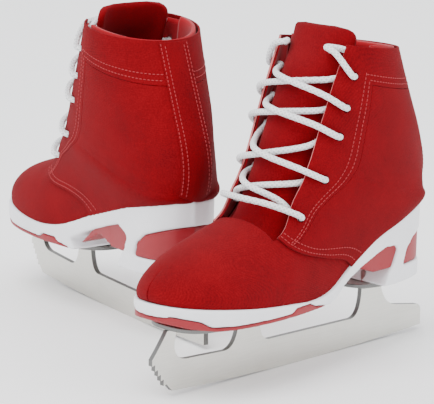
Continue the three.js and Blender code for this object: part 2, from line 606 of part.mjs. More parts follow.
function blade() {
  const top = BLADE_HEIGHT;
  const shape = new THREE.Shape();
  shape.moveTo(RAKE.tail[0], rockerHeight(RAKE.tail[0]));
  steps(40, BLADE_LENGTH, 8).forEach((x) => shape.lineTo(x, rockerHeight(x)));
  shape.lineTo(BLADE_LENGTH, 14);
  shape.quadraticCurveTo(BLADE_LENGTH, 19.5, 266, 20);
  shape.lineTo(243, 24);
  shape.quadraticCurveTo(229, 27, 227, top); // behind the heel stanchion
  shape.lineTo(207, top);
  shape.quadraticCurveTo(207, 21.5, 195, 21.5); // rear window
  shape.lineTo(111, 22.8);
  shape.quadraticCurveTo(101, 24, 101, top);
  shape.lineTo(82, top);
  shape.quadraticCurveTo(81, 23, 68, 22.6); // front window
  shape.lineTo(31, 24.4);
  shape.quadraticCurveTo(15, 27, 23.5, top);
  shape.lineTo(14, top);
  shape.quadraticCurveTo(8, 38, RAKE.top[0], RAKE.top[1]);
  const [from, to] = [new THREE.Vector2(...RAKE.top), new THREE.Vector2(...RAKE.bottom)];
  const out = new THREE.Vector2(from.y - to.y, to.x - from.x).normalize().multiplyScalar(-TOOTH_DEPTH);
  for (let i = 0; i < TOOTH_COUNT; i += 1) {
    const tip = from.clone().lerp(to, (i + 0.8) / TOOTH_COUNT).add(out);
    const root = from.clone().lerp(to, (i + 1) / TOOTH_COUNT);
    shape.lineTo(tip.x, tip.y);
    shape.lineTo(root.x, root.y);
  }
  shape.closePath();
  const geometry = new THREE.ExtrudeGeometry(shape, { depth: BLADE_THICKNESS, bevelEnabled: false, curveSegments: 5 });
  return geometry.rotateX(Math.PI / 2).translate(0, BLADE_THICKNESS / 2, 0);
}

function plate(size, screws) {
  const { start, end, widest, halfWidth, endHalfWidth } = size;
  const shape = new THREE.Shape();
  shape.moveTo(start, 0);
  shape.bezierCurveTo(start, halfWidth * 0.95, start + 18, halfWidth, widest, halfWidth);
  shape.bezierCurveTo(end - 22, halfWidth, end, endHalfWidth * 1.5, end, 0);
  shape.bezierCurveTo(end, -endHalfWidth * 1.5, end - 22, -halfWidth, widest, -halfWidth);
  shape.bezierCurveTo(start + 18, -halfWidth, start, -halfWidth * 0.95, start, 0);
  screws.forEach(([x, y]) => {
    const hole = new THREE.Path();
    hole.absarc(x, y, SCREW_RADIUS + GAP, 0, Math.PI * 2);
    shape.holes.push(hole);
  });
  const geometry = new THREE.ExtrudeGeometry(shape, { depth: PLATE_THICKNESS, bevelEnabled: false, curveSegments: 4 });
  return geometry.translate(0, 0, PLATE_BOTTOM);
}

// A pan-head screw, its head under the plate and its shank up in the sole.
function screw([x, y]) {
  const top = PLATE_BOTTOM + SCREW_LENGTH;
  const under = PLATE_BOTTOM - GAP;
  const profile = [[0, top], [SCREW_RADIUS * 0.4, top], [SCREW_RADIUS, top - 2], [SCREW_RADIUS, under],
    [SCREW_HEAD_RADIUS, under], [SCREW_HEAD_RADIUS * 0.7, under - SCREW_HEAD_HEIGHT], [0, under - SCREW_HEAD_HEIGHT]];
  const lathe = new THREE.LatheGeometry(profile.map(([r, z]) => new THREE.Vector2(r, z)).reverse(), 6);
  return facingOut(lathe.rotateX(Math.PI / 2).translate(x, y, 0));
}

// ---------------------------------------------------------------------------------------------
// The lace: one cord, from its end tucked in at the top inner eyelet, criss-crossed down one way,
// across the bottom bar and up the other way to the end tucked in at the top outer eyelet.

class LaceCurve extends THREE.CatmullRomCurve3 {
  getUtoTmapping(u) {
    return u; // as many steps between two chosen points, however near they are
  }
}

function laceRoute() {
  const outside = QUARTER.outer + LACE_DIAMETER / 2 + 0.8;
  const under = EYELET_STRIP.inner - LACE_DIAMETER / 2 - 0.6;
  const hole = (side, pair, depth, inward = 0) => {
    const [s, around] = eyeletSeat(side, pair);
    return offsetPoint(s, around - side * inward, depth);
  };
  // Up through a hole from the inside, leaning towards the tongue at both ends.
  const lean = 0.013;
  const through = (side, pair) => hole(side, pair, 0.5, -0.003);
  const rise = (side, pair) => [hole(side, pair, under, lean), through(side, pair), hole(side, pair, outside, lean)];
  // From outside a hole, over the facing's edge, across the tongue and under the other facing.
  const across = (side, pair, next, lift) => {
    const [s0] = eyeletSeat(side, pair);
    const [s1] = eyeletSeat(-side, next);
    const at = (share) => THREE.MathUtils.lerp(s0, s1, share);
    const edge = (s) => facingAround(s) - 0.025;
    return [
      offsetPoint(at(0.22), side * edge(at(0.22)), outside - 0.1),
      offsetPoint(at(0.5), 0, lift),
      offsetPoint(at(0.78), -side * edge(at(0.78)), under + 0.3),
    ];
  };
  const tuck = (side) => {
    const edge = facingAround(17.7);
    return [
      offsetPoint(17.5, side * (edge - 0.04), outside - 0.5),
      offsetPoint(17.8, side * (edge - 0.1), -0.5),
      offsetPoint(17.85, side * (edge - 0.03), under),
      offsetPoint(17.7, side * (edge + 0.05), under),
    ];
  };
  // One half of the lace, from inside the bottom eyelet on a side up to its tucked end.
  const half = (first, lifts) => {
    const points = [hole(first, EYELET_PAIRS - 1, under, lean)];
    let side = first;
    for (let pair = EYELET_PAIRS - 1; pair > 0; pair -= 1) {
      const [s0] = eyeletSeat(side, pair);
      const [s1] = eyeletSeat(-side, pair - 1);
      if (pair === EYELET_PAIRS - 1) {
        const low = THREE.MathUtils.lerp(s0, s1, 0.2);
        points.push(offsetPoint(low, side * facingAround(low) * 0.75, under + 0.8));
        points.push(offsetPoint((s0 + s1) / 2, 0, lifts[pair]));
        const s = THREE.MathUtils.lerp(s0, s1, 0.8);
        points.push(offsetPoint(s, -side * (facingAround(s) - 0.025), under + 0.3));
      } else {
        points.push(...across(side, pair, pair - 1, lifts[pair]));
      }
      side = -side;
      points.push(...rise(side, pair - 1));
    }
    return [...points, ...tuck(side)];
  };
  const [low, high] = [-2.5, 2.7];
  const barDepth = outside - 0.4;
  const bottom = EYELET_PAIRS - 1;
  const [sBar] = eyeletSeat(1, bottom);
  const enter = (side) => [hole(side, bottom, outside, lean), through(side, bottom)];
  const bar = [0.6, 0, -0.6].map((share) => offsetPoint(sBar, share * facingAround(sBar), barDepth + 1.2));
  const outerHalf = half(1, [0, low, high, low, high]);
  const innerHalf = half(-1, [0, high, low, high, low]);
  return [...outerHalf.reverse(), ...enter(1).reverse(), ...bar, ...enter(-1), ...innerHalf];
}

function lace() {
  const route = laceRoute();
  const section = new THREE.Shape();
  section.absarc(0, 0, LACE_DIAMETER / 2, 0, Math.PI * 2);
  const path = new LaceCurve(route, false, "centripetal");
  return new THREE.ExtrudeGeometry(section, {
    steps: Math.round((route.length - 1) * LACE_STEPS), extrudePath: path, curveSegments: 3,
  });
}

// ---------------------------------------------------------------------------------------------
// Materials and assembly

const matte = (color, roughness) => new THREE.MeshStandardMaterial({ color, roughness, metalness: 0 });
const steel = (color, roughness) => new THREE.MeshStandardMaterial({ color, roughness, metalness: 1 });
const MATERIALS = {
  fabric: matte(0xa8232b, 0.9),
  lining: matte(0xb01f28, 0.75),
  board: matte(0x8a7a66, 0.9),
  shell: matte(0xf2f2f4, 0.45),
  tread: matte(0xc0323c, 0.55),
  lace: matte(0xf4f4f4, 0.85),
  blade: steel(0xc9c8c0, 0.35),
  screw: steel(0xb8b8b4, 0.4),
};

const PIECES = [
  ["toe_vamp", vamp, "fabric"],
  ["lateral_quarter", () => quarter(1), "fabric"],
  ["medial_quarter", () => quarter(-1), "fabric"],
  ["lateral_eyestay", () => eyestay(1), "fabric"],
  ["medial_eyestay", () => eyestay(-1), "fabric"],
  ["back_stay", backStay, "fabric"],
  ["tongue", tongue, "fabric"],
  ["collar_lining", quarterLining, "lining"],
  ["vamp_lining", vampLining, "lining"],
  ["toe_puff", toePuff, "board"],
  ["heel_counter", heelCounter, "board"],
  ["lateral_eyelet_strip", () => eyeletStrip(1), "board"],
  ["medial_eyelet_strip", () => eyeletStrip(-1), "board"],
  ["insole_board", () => footBoard(BOARD_LIFT, BOARD_THICKNESS, BOARD_INSET), "board"],
  ["footbed", () => footBoard(BOARD_LIFT + BOARD_THICKNESS + GAP, FOOTBED_THICKNESS, BOARD_INSET + 0.4), "lining"],
  ["outsole_shell", outsoleShell, "shell"],
  ["forefoot_tread", forefootTread, "tread"],
  ["arch_core", archCore, "tread"],
  ["heel_insert", heelInsert, "tread"],
  ["blade", blade, "blade"],
  ["toe_plate", () => plate(TOE_PLATE, TOE_SCREWS), "blade"],
  ["heel_plate", () => plate(HEEL_PLATE, HEEL_SCREWS), "blade"],
  ...TOE_SCREWS.map((place, i) => [`toe_screw_${i + 1}`, () => screw(place), "screw"]),
  ...HEEL_SCREWS.map((place, i) => [`heel_screw_${i + 1}`, () => screw(place), "screw"]),
  ["lace", lace, "lace"],
].map(([name, make, finish]) => ({ name, geometry: make(), finish }));

function skate(prefix) {
  const group = new THREE.Group();
  PIECES.forEach(({ name, geometry, finish }) => {
    const mesh = new THREE.Mesh(geometry, MATERIALS[finish]);
    mesh.name = `${prefix}_${name}`;
    group.add(mesh);
  });
  return group;
}

const pair = new THREE.Group();
const left = skate("left");
left.scale.x = -1; // the mirror of the right skate, heading along +X
const right = skate("right");
right.position.set(-PAIR_BACK, -PAIR_ASIDE, 0);
right.rotation.z = THREE.MathUtils.degToRad(180 - PAIR_TURN);
pair.add(left, right);

// The origin is the middle of the pair's footprint, on the ice.
pair.updateMatrixWorld(true);
const box = new THREE.Box3().setFromObject(pair, true);
const centre = box.getCenter(new THREE.Vector3());
pair.position.set(-centre.x, -centre.y, -box.min.z);

export default pair;
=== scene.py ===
# %% [markdown]
# # A pair of ice figure skates
# Red fabric boots on white and red moulded soles, laced in white, each on a satin steel blade. The
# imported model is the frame: every piece here takes its place from it. Lengths inside a skate are
# millimetres in that skate's own frame: x runs backwards from the blade's toe, y to the outside of
# the foot and z up from the ice.

import bmesh
import bpy
import numpy as np
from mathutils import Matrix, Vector


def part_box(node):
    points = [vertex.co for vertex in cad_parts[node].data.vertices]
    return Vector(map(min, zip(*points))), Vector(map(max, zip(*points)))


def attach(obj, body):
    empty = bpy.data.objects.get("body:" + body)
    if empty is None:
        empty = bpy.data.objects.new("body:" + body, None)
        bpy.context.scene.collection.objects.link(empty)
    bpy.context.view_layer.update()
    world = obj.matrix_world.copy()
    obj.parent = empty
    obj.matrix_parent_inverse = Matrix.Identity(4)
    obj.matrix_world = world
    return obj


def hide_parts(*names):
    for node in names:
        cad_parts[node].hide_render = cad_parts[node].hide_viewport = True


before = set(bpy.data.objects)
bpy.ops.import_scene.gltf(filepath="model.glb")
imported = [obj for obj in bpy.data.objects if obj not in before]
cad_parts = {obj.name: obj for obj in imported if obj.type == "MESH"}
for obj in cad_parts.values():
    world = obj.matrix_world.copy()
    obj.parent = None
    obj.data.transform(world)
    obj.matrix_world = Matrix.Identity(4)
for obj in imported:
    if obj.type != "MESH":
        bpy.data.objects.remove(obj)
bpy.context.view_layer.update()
MM = 0.001

# %% [markdown]
# The sizes that both skates share, in millimetres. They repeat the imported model's, except that the
# eyelet holes are drawn closer round the lace. Keeping them in one cell means that a blade or a sheet
# can be made thicker without hunting through the shapes.

# %% Sizes
BLADE_LENGTH = 272
BLADE_THICKNESS = 4
BLADE_HEIGHT = 47
ROCKER_RADIUS = 2130
ROCKER_LOW_POINT = 150
TOOTH_COUNT = 5
TOOTH_DEPTH = 2.6
RAKE = {"top": (0, 29), "bottom": (13, 9.5), "tail": (18, 4)}
PLATE_THICKNESS = 3
TOE_PLATE = {"start": 14, "end": 138, "widest": 76, "half": 31, "end_half": 15}
HEEL_PLATE = {"start": 187, "end": 250, "widest": 222, "half": 22, "end_half": 13}
TOE_SCREWS = [(36, 14), (36, -14), (98, 17), (98, -17)]
HEEL_SCREWS = [(200, 10), (200, -10), (240, 10)]
GAP = 0.35
PLATE_BOTTOM = BLADE_HEIGHT + GAP
SOLE_BOTTOM = PLATE_BOTTOM + PLATE_THICKNESS + GAP

# Depths of the upper's sheets from the last's surface, positive outwards: outer face, inner face
VAMP = (0.0, -1.6)
QUARTER = (1.9, 0.4)
BACK_STAY = (3.0, 1.9)
PUFF = (-2.1, -3.1)
COUNTER = (0.0, -1.5)
VAMP_LINING = (-3.6, -4.8)
COLLAR_LINING = (-1.6, -6.2)
TONGUE = (-7.4, -12.8)

RIM_PROUD = 2.3
HEEL_TAPER = 0.93
TREAD_THICKNESS = 2.6
TAB_RISE = 3
CORE_RECESS = 1.2
LACE_RADIUS = 2.3
EYELET_SECTIONS = [16.7, 15.45, 14.1, 10.3, 7.4]
EYELET_SETBACK = 0.085
HOLE_RADIUS = 3.1

# %% [markdown]
# The last is the foot-shaped form that a boot is pulled over. It could be sculpted, but a row of
# sections is easier to measure and to change. Each section is a Bezier curve from the foot line,
# where the upper meets the sole, up to the crown, the front centre line. One row of the table holds
# the foot's x, its half widths and its heights (outer side, then inner side), the pull of the curve's
# lower handle (x, y, z), the crown's x and z, and the reach of its upper handle (x, y, z).

# %% The last's sections
SECTIONS = np.array([
    [-1, 0, 0, 70, 70, -5, 0, 7, 8, 88, -6, 0, -3],
    [2.5, 17, 15, 69.5, 69.5, -3, 3, 9, 14, 92.5, -1, 10, 0],
    [14, 30, 26, 68, 68.5, -1, 3, 12, 25, 97, 0, 18.5, 0],
    [33, 40, 34.5, 66, 67, 0, 2, 17, 42, 102.5, 0, 26, 0],
    [60, 45, 39, 63, 65, 0, 1, 22, 64, 109, 0, 31, 0],
    [90, 45, 39.5, 60.5, 64.5, 0, 1, 27, 81, 114, 0, 35, 0],
    [116, 41.5, 36.5, 58.5, 68, 0, 1, 31, 86.5, 118.5, 0, 40, 0],
    [138, 37, 33.5, 61.5, 75, 2, 2, 34, 89, 124, 0, 45, 0],
    [160, 34, 32, 74, 83, 5, 4, 36, 91.5, 130.5, 0, 49, 0],
    [188, 32.5, 31.5, 89, 92, 10, 7, 30, 94, 137, 0, 53, 0],
    [215, 31.5, 31, 98.5, 100, 14, 10, 25, 97, 144, 0, 57, 0],
    [239, 25, 25, 105, 105, 16, 16, 18, 100, 151, 0, 60, 0],
    [251, 14, 14, 107.5, 107.5, 12, 26, 14, 102.5, 156, 0, 62, 0],
    [256, 0, 0, 109, 109, 6, 41, 13, 105, 160.5, 0, 64, 0],
    [261.5, 0, 0, 126, 126, 0, 42, 7, 111, 172.5, 0, 66, 0],
    [258, 0, 0, 146, 146, 0, 43, 3, 119, 188, 0, 66, 0],
    [247.5, 0, 0, 170, 170, 0, 43, 0, 128.5, 205, 0, 66, 0],
    [236, 0, 0, 195, 195, 0, 43, 0, 138, 219.5, 0, 66, 0],
    [224.5, 0, 0, 221, 221, 0, 43, 0, 147, 232, 0, 66, 0],
    [218.5, 0, 0, 234, 234, 0, 43, 0, 153, 246, 0, 66, 0],
], dtype=float)
FOOT_X, HALF_OUT, HALF_IN, Z_OUT, Z_IN = range(5)
PULL, CROWN_X, CROWN_Z, REACH = 5, 8, 9, 10
HEEL_BACK = 13.0
COLLAR = 18.0
THROAT = 5.1
LAST_SECTION = len(SECTIONS) - 1.0
FACING_START = 5.3
FACING = [0.4, 0.29, 0.235, 0.215, 0.21, 0.22]
QUARTER_FRONT = [8, 7.5, 6.8, 6.0, 5.5, FACING_START]
SEAM_SHARE = 0.76
BAND_ALONG = 0.88
HEEL_ALONG = (HEEL_BACK - QUARTER_FRONT[0]) / (COLLAR - QUARTER_FRONT[0])
print("sections", len(SECTIONS))

# %% [markdown]
# Splines through the table's columns give a section anywhere between its rows. The sections turn from
# level to upright round the heel, which would leave a crease at the ankle, so the surface is evened
# there by averaging sections near each other. Every sheet of the upper is this surface moved out or in.

# %% The last's surface
EVENING = 1.9
STEP = 0.02


def spline(values, at, mirrored=False):
    """A uniform Catmull-Rom spline through the values, at real-valued indices.

    A mirrored one starts level.
    """
    values = np.asarray(values, dtype=float)
    at = np.asarray(at, dtype=float)
    last = len(values) - 1
    i = np.clip(np.floor(at).astype(int), 0, last - 1)
    f = at - i
    before = values[1] if mirrored else 2 * values[0] - values[1]
    padded = np.concatenate([[before], values, [2 * values[-1] - values[-2]]])
    a, b, c, d = (padded[i + k] for k in range(4))
    slope_b = (c - a) / 2
    slope_c = (d - b) / 2
    return ((2 * f**3 - 3 * f**2 + 1) * b + (f**3 - 2 * f**2 + f) * slope_b
            + (3 * f**2 - 2 * f**3) * c + (f**3 - f**2) * slope_c)


def column(k, s):
    sideways = k in (HALF_OUT, HALF_IN, PULL + 1, REACH + 1)
    return spline(SECTIONS[:, k], s, mirrored=not sideways)


def foot_point(s, side):
    half = np.where(s >= HEEL_BACK, 0, np.maximum(column(HALF_OUT if side > 0 else HALF_IN, s), 0))
    return np.stack([column(FOOT_X, s), side * half, column(Z_OUT if side > 0 else Z_IN, s)], -1)


def section_point(s, around):
    """Points of the sections: around is 0 on the crown, 1 on the outer foot line and -1 on the inner."""
    s, around = np.broadcast_arrays(np.asarray(s, float), np.asarray(around, float))
    side = np.where(around < 0, -1.0, 1.0)
    foot = np.where((side > 0)[..., None], foot_point(s, 1), foot_point(s, -1))
    crown = np.stack([column(CROWN_X, s), np.zeros_like(s), column(CROWN_Z, s)], -1)
    pull, reach = (
        np.stack([column(k, s), side * np.maximum(column(k + 1, s), 0), column(k + 2, s)], -1)
        for k in (PULL, REACH)
    )
    t = (1 - np.abs(around))[..., None]
    u = 1 - t
    return u**3 * foot + 3 * u**2 * t * (foot + pull) + 3 * u * t**2 * (crown + reach) + t**3 * crown


def ramp(at, start, end):
    """From 0 at start to 1 at end, easing in and out."""
    share = np.clip((at - start) / (end - start), 0, 1)
    return share * share * (3 - 2 * share)


def last_point(s, around):
    """The sections' surface, evened out round the heel, where they turn from level to upright."""
    s, around = np.broadcast_arrays(np.asarray(s, float), np.asarray(around, float))
    own = section_point(s, around)
    spread = EVENING * ramp(s, 9, 11.5) * (1 - ramp(s, 14.5, 17)) * ramp(1 - np.abs(around), 0, 0.3)
    evened = sum(
        weight * section_point(s + spread * shift, around)
        for shift, weight in ((-1, 0.16), (-0.5, 0.22), (0, 0.24), (0.5, 0.22), (1, 0.16))
    )
    return np.where((spread > 0)[..., None], evened, own)


def offset_point(s, around, depth):
    """The same points moved along the surface's outward normal."""
    s, around = np.broadcast_arrays(np.asarray(s, float), np.asarray(around, float))
    ahead, behind = np.minimum(s + STEP, LAST_SECTION), np.maximum(s - STEP, 0)
    along_s = last_point(ahead, around) - last_point(behind, around)
    along_a = last_point(s, np.minimum(around + STEP, 1)) - last_point(s, np.maximum(around - STEP, -1))
    normal = np.cross(along_s, along_a)
    centred = (s == 0) | ((np.abs(around) >= 1) & (s >= HEEL_BACK))
    normal[..., 1] = np.where(centred, 0, normal[..., 1])
    normal /= np.maximum(np.linalg.norm(normal, axis=-1, keepdims=True), 1e-12)
    return last_point(s, around) + normal * np.asarray(depth, float)[..., None]


def facing_around(s):
    share = np.clip((np.asarray(s, float) - FACING_START) / (COLLAR - FACING_START), 0, 1)
    return spline(FACING, share * (len(FACING) - 1))


def quarter_front(share):
    return spline(QUARTER_FRONT, np.asarray(share, float) * (len(QUARTER_FRONT) - 1))


def quarter_place(along, share, sink=0.0):
    """Section and way round at a share of the way from the foot line to the facing's edge."""
    s = quarter_front(share) + (COLLAR - quarter_front(share)) * np.asarray(along, float)
    around = 1 + (facing_around(s) - 1) * share
    return s, around + np.where(s < HEEL_BACK - 1e-6, sink * (1 - share) ** 12, 0)


# %% [markdown]
# Each skate's own frame comes from its screws: the middle of the toe pair and the middle of the heel
# pair give its heading, and the two toe screws give which side is the outside.

# %% Skate frames
class Skate:
    def __init__(self, prefix):
        self.prefix = prefix
        toe = [self.centre(f"toe_screw_{i}") for i in (1, 2, 3, 4)]
        heel = [self.centre(f"heel_screw_{i}") for i in (1, 2)]
        toe_x = np.mean([x for x, _ in TOE_SCREWS])
        heel_x = HEEL_SCREWS[0][0]
        toe_middle = np.mean(toe, axis=0)
        heel_middle = np.mean(heel, axis=0)
        back = (heel_middle - toe_middle)[:2]
        scale = np.linalg.norm(back) / (heel_x - toe_x)
        self.x = back / np.linalg.norm(back)
        outward = (toe[0] - toe[1])[:2]
        self.y = outward / np.linalg.norm(outward)
        self.origin = toe_middle[:2] - self.x * toe_x * scale
        self.body = f"{prefix}_skate"
        print(prefix, "toe at", self.origin.round(4), "scale", round(float(scale), 5))

    def centre(self, name):
        low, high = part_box(f"{self.prefix}_{name}")
        return (np.array(low) + np.array(high)) / 2

    def place(self, points):
        """Millimetres in the skate's frame to metres in the row's."""
        points = np.asarray(points, float)
        flat = self.origin + (points[..., 0:1] * self.x + points[..., 1:2] * self.y) * MM
        return np.concatenate([flat, points[..., 2:3] * MM], axis=-1)


SKATES = [Skate("left"), Skate("right")]

# %% [markdown]
# Every piece is built from plain lists of points and faces, placed in its skate's frame. A piece
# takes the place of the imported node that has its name, apart from the stitches, which have none.

# %% Pieces and modifiers
def add_object(name, skate, points, faces, finish, uv=None, smooth=True, marked=None, body=None,
               replacing=True):
    """A mesh piece from points in the skate's frame, faces turned outwards.

    Marked faces take the second finish.
    """
    world = skate.place(points)
    faces = [list(f) for f in faces]
    fan = np.array([(f[0], f[k], f[k + 1]) for f in faces for k in range(1, len(f) - 1)])
    volume = np.einsum("ij,ij->", world[fan[:, 0]], np.cross(world[fan[:, 1]], world[fan[:, 2]]))
    if volume < 0:
        faces = [f[::-1] for f in faces]
    mesh = bpy.data.meshes.new(name)
    mesh.from_pydata(world.tolist(), [], faces)
    if uv is not None:
        layer = mesh.uv_layers.new(name="lengths")
        corner = np.empty(len(mesh.loops), dtype=np.int32)
        mesh.loops.foreach_get("vertex_index", corner)
        layer.data.foreach_set("uv", np.asarray(uv, float)[corner].ravel())
    for material in finish:
        mesh.materials.append(material)
    if marked is not None:
        mesh.polygons.foreach_set("material_index", np.asarray(marked, dtype=np.int32))
    mesh.polygons.foreach_set("use_smooth", [smooth] * len(mesh.polygons))
    made = bpy.data.objects.new(f"{skate.prefix}_{name}", mesh)
    bpy.context.scene.collection.objects.link(made)
    settle(made, skate, body, name if replacing else None)
    return made


def settle(made, skate, body=None, node=None):
    """Puts a piece on its body and in place of its CAD node."""
    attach(made, body or skate.body)
    if node:
        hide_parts(f"{skate.prefix}_{node}")


def modifier(made, kind, **settings):
    added = made.modifiers.new(kind.title(), kind)
    for key, value in settings.items():
        setattr(added, key, value)
    return added


def soften(made, width=0.35):
    """Rounded edges, with the flat parts left flat in the shading."""
    modifier(made, "BEVEL", width=width * MM, segments=2, limit_method="ANGLE",
             angle_limit=np.radians(50), use_clamp_overlap=False, harden_normals=False)
    modifier(made, "WEIGHTED_NORMAL", keep_sharp=True)


# %% [markdown]
# Fabric, board and lining are sheets: closed pieces between two lattices of points, with walls round
# the edge. A plane with a Solidify modifier would do for a flat one, but here both faces are measured
# from the last, so that neighbouring sheets never touch. The lengths go with the sheet, so that the
# weave keeps its size wherever the surface stretches.

# %% Sheets
def lengths(lattice):
    """Distance in metres along the columns and along the rows, for the weave to follow."""
    across = np.linalg.norm(np.diff(lattice, axis=1), axis=-1).cumsum(axis=1)
    down = np.linalg.norm(np.diff(lattice, axis=0), axis=-1).cumsum(axis=0)
    u = np.pad(across, ((0, 0), (1, 0)))
    v = np.pad(down, ((1, 0), (0, 0)))
    return np.stack([u, v], -1) * MM


def sheet_parts(outer, inner, joined_from=None):
    """Points, faces and lengths of a sheet. Its first column has no wall from row joined_from on."""
    rows, columns = outer.shape[:2]
    o = np.arange(rows * columns).reshape(rows, columns)
    i = o + rows * columns
    quads = [
        np.stack([g[:-1, :-1], g[:-1, 1:], g[1:, 1:], g[1:, :-1]], -1).reshape(-1, 4) for g in (o, i)
    ]
    wall = [
        np.stack([o[0, :-1], i[0, :-1], i[0, 1:], o[0, 1:]], -1),
        np.stack([o[-1, 1:], i[-1, 1:], i[-1, :-1], o[-1, :-1]], -1),
    ]
    end = rows - 1 if joined_from is None else joined_from
    first = np.stack([o[1:end + 1, 0], i[1:end + 1, 0], i[:end, 0], o[:end, 0]], -1)
    last = np.stack([o[:-1, -1], i[:-1, -1], i[1:, -1], o[1:, -1]], -1)
    faces = np.concatenate([quads[0], quads[1][:, ::-1], *wall, first, last])
    points = np.concatenate([outer.reshape(-1, 3), inner.reshape(-1, 3)])
    uv = np.concatenate([lengths(outer).reshape(-1, 2), lengths(inner).reshape(-1, 2)])
    return points, faces, uv


def sheet(name, skate, outer, inner, finish, **rest):
    points, faces, uv = sheet_parts(outer, inner)
    return add_object(name, skate, points, faces, finish, uv=uv, **rest)


def wrap(name, skate, rows, columns, depths, finish, sink=0.0):
    """A sheet round the heel, its two halves joined along the centre line of the heel's back."""
    grid = np.meshgrid(rows, columns, indexing="ij")
    joined_from = int(np.argmax(rows >= HEEL_ALONG - 1e-9))
    s, around = quarter_place(*grid, sink)
    depths = [depth(*grid) if callable(depth) else depth for depth in depths]
    points, faces, uv = [], [], []
    for side in (1, -1):
        p, f, lay = sheet_parts(*(offset_point(s, side * around, depth) for depth in depths), joined_from)
        faces.append((f if side > 0 else f[:, ::-1]) + sum(len(q) for q in points))
        points.append(p)
        uv.append(lay * [side, 1])
    made = add_object(name, skate, np.concatenate(points), np.concatenate(faces), finish,
                      uv=np.concatenate(uv))
    turn_out(made.data, WELD)
    return made


# %% [markdown]
# Solids are lofted between rings of points. Holes and moulded shapes come from exact booleans with
# temporary solids, which go once they have cut.

# %% Solids and booleans
WELD = 0.01


def turn_out(mesh, closer_than=None):
    """Turns the faces outwards, after points closer than a distance are made one."""
    work = bmesh.new()
    work.from_mesh(mesh)
    if closer_than is not None:
        bmesh.ops.remove_doubles(work, verts=work.verts, dist=closer_than * MM)
    bmesh.ops.recalc_face_normals(work, faces=work.faces)
    work.to_mesh(mesh)
    work.free()


def ring_faces(rings, sides):
    """Faces over a row of rings of as many points, closed at both ends."""
    here = np.arange(sides)
    ahead = (here + 1) % sides
    base = np.arange(rings - 1)[:, None] * sides
    quads = np.stack([base + here, base + ahead, base + sides + ahead, base + sides + here], -1)
    ends = [list(range(sides))[::-1], [(rings - 1) * sides + i for i in range(sides)]]
    return quads.reshape(-1, 4).tolist() + ends


def loft(ring_a, ring_b):
    """Points and faces of a solid between two rings of as many points."""
    n = len(ring_a)
    here = np.arange(n)
    ahead = (here + 1) % n
    sides = np.stack([here, ahead, ahead + n, here + n], -1).tolist()
    return np.concatenate([ring_a, ring_b]), [list(range(n))[::-1], list(range(n, 2 * n)), *sides]


def combine(base, others, operation):
    """Cuts or joins temporary solids into base with exact booleans, and takes them away."""
    for other in others:
        cut = modifier(base, "BOOLEAN", object=other, operation=operation, solver="EXACT")
        mesh = bpy.data.meshes.new_from_object(base.evaluated_get(bpy.context.evaluated_depsgraph_get()))
        base.modifiers.remove(cut)
        base.data = mesh
        bpy.data.objects.remove(other)
    return base


def temporary(points, faces):
    mesh = bpy.data.meshes.new("temporary")
    mesh.from_pydata((np.asarray(points, float) * MM).tolist(), [], faces)
    made = bpy.data.objects.new("temporary", mesh)
    bpy.context.scene.collection.objects.link(made)
    turn_out(mesh)
    return made


# %% [markdown]
# Materials are node graphs. They could be wired by hand in the shader editor. Here Value wraps a
# socket, so that a pattern reads as arithmetic, and Finish builds the rest of the graph round one
# Principled shader.

# %% Material helpers
class Value:
    """A number that varies over the surface."""

    def __init__(self, finish, socket):
        self.finish = finish
        self.socket = socket

    def _math(self, operation, a, b=None):
        inputs = {0: a} if b is None else {0: a, 1: b}
        return self.finish.node("ShaderNodeMath", {"operation": operation}, inputs)

    def __add__(self, other):
        return self._math("ADD", self, other)

    def __sub__(self, other):
        return self._math("SUBTRACT", self, other)

    def __rsub__(self, other):
        return self._math("SUBTRACT", other, self)

    def __mul__(self, other):
        return self._math("MULTIPLY", self, other)

    __radd__ = __add__
    __rmul__ = __mul__

    def sin(self):
        return self._math("SINE", self)

    def abs(self):
        return self._math("ABSOLUTE", self)

    def most(self, other):
        return self._math("MAXIMUM", self, other)


class Finish:
    """One material: a Principled shader and the nodes that feed it."""

    def __init__(self, name, slot, **constants):
        self.material = bpy.data.materials.new(name)
        self.material["slot"] = slot
        self.material.use_nodes = True
        self.tree = self.material.node_tree
        self.shader = self.tree.nodes["Principled BSDF"]
        self.coordinates = None
        self.set(**constants)

    def put(self, socket, value):
        if isinstance(value, Value):
            self.tree.links.new(value.socket, socket)
        elif isinstance(value, bpy.types.NodeSocket):
            self.tree.links.new(value, socket)
        else:
            socket.default_value = value

    def node(self, kind, settings=None, inputs=None, output=0):
        made = self.tree.nodes.new(kind)
        for key, value in (settings or {}).items():
            setattr(made, key, value)
        for key, value in (inputs or {}).items():
            self.put(made.inputs[key], value)
        return Value(self, made.outputs[output])

    def set(self, **inputs):
        for key, value in inputs.items():
            self.put(self.shader.inputs[key.replace("_", " ")], value)

    def place(self, scale, which="Object"):
        """Coordinates in metres times scale, or the lengths laid along a sheet."""
        if self.coordinates is None:
            self.coordinates = self.tree.nodes.new("ShaderNodeTexCoord")
        factors = scale if isinstance(scale, tuple) else (scale, scale, scale)
        return self.node("ShaderNodeVectorMath", {"operation": "MULTIPLY"},
                         {0: self.coordinates.outputs[which], 1: factors})

    def noise(self, per_metre, detail=3.0, roughness=0.5, which="Object"):
        return self.node("ShaderNodeTexNoise", {}, {
            "Vector": self.place(per_metre, which), "Scale": 1.0, "Detail": detail, "Roughness": roughness})

    def axis(self, which, component):
        if self.coordinates is None:
            self.coordinates = self.tree.nodes.new("ShaderNodeTexCoord")
        return self.node("ShaderNodeSeparateXYZ", {}, {0: self.coordinates.outputs[which]}, component)

    def mix(self, factor, first, second):
        return self.node("ShaderNodeMix", {"data_type": "RGBA"},
                         {0: factor, 6: (*first, 1), 7: (*second, 1)}, 2)

    def bump(self, height, strength, distance):
        self.set(Normal=self.node("ShaderNodeBump", {}, {
            "Height": height, "Strength": strength, "Distance": distance * MM}))


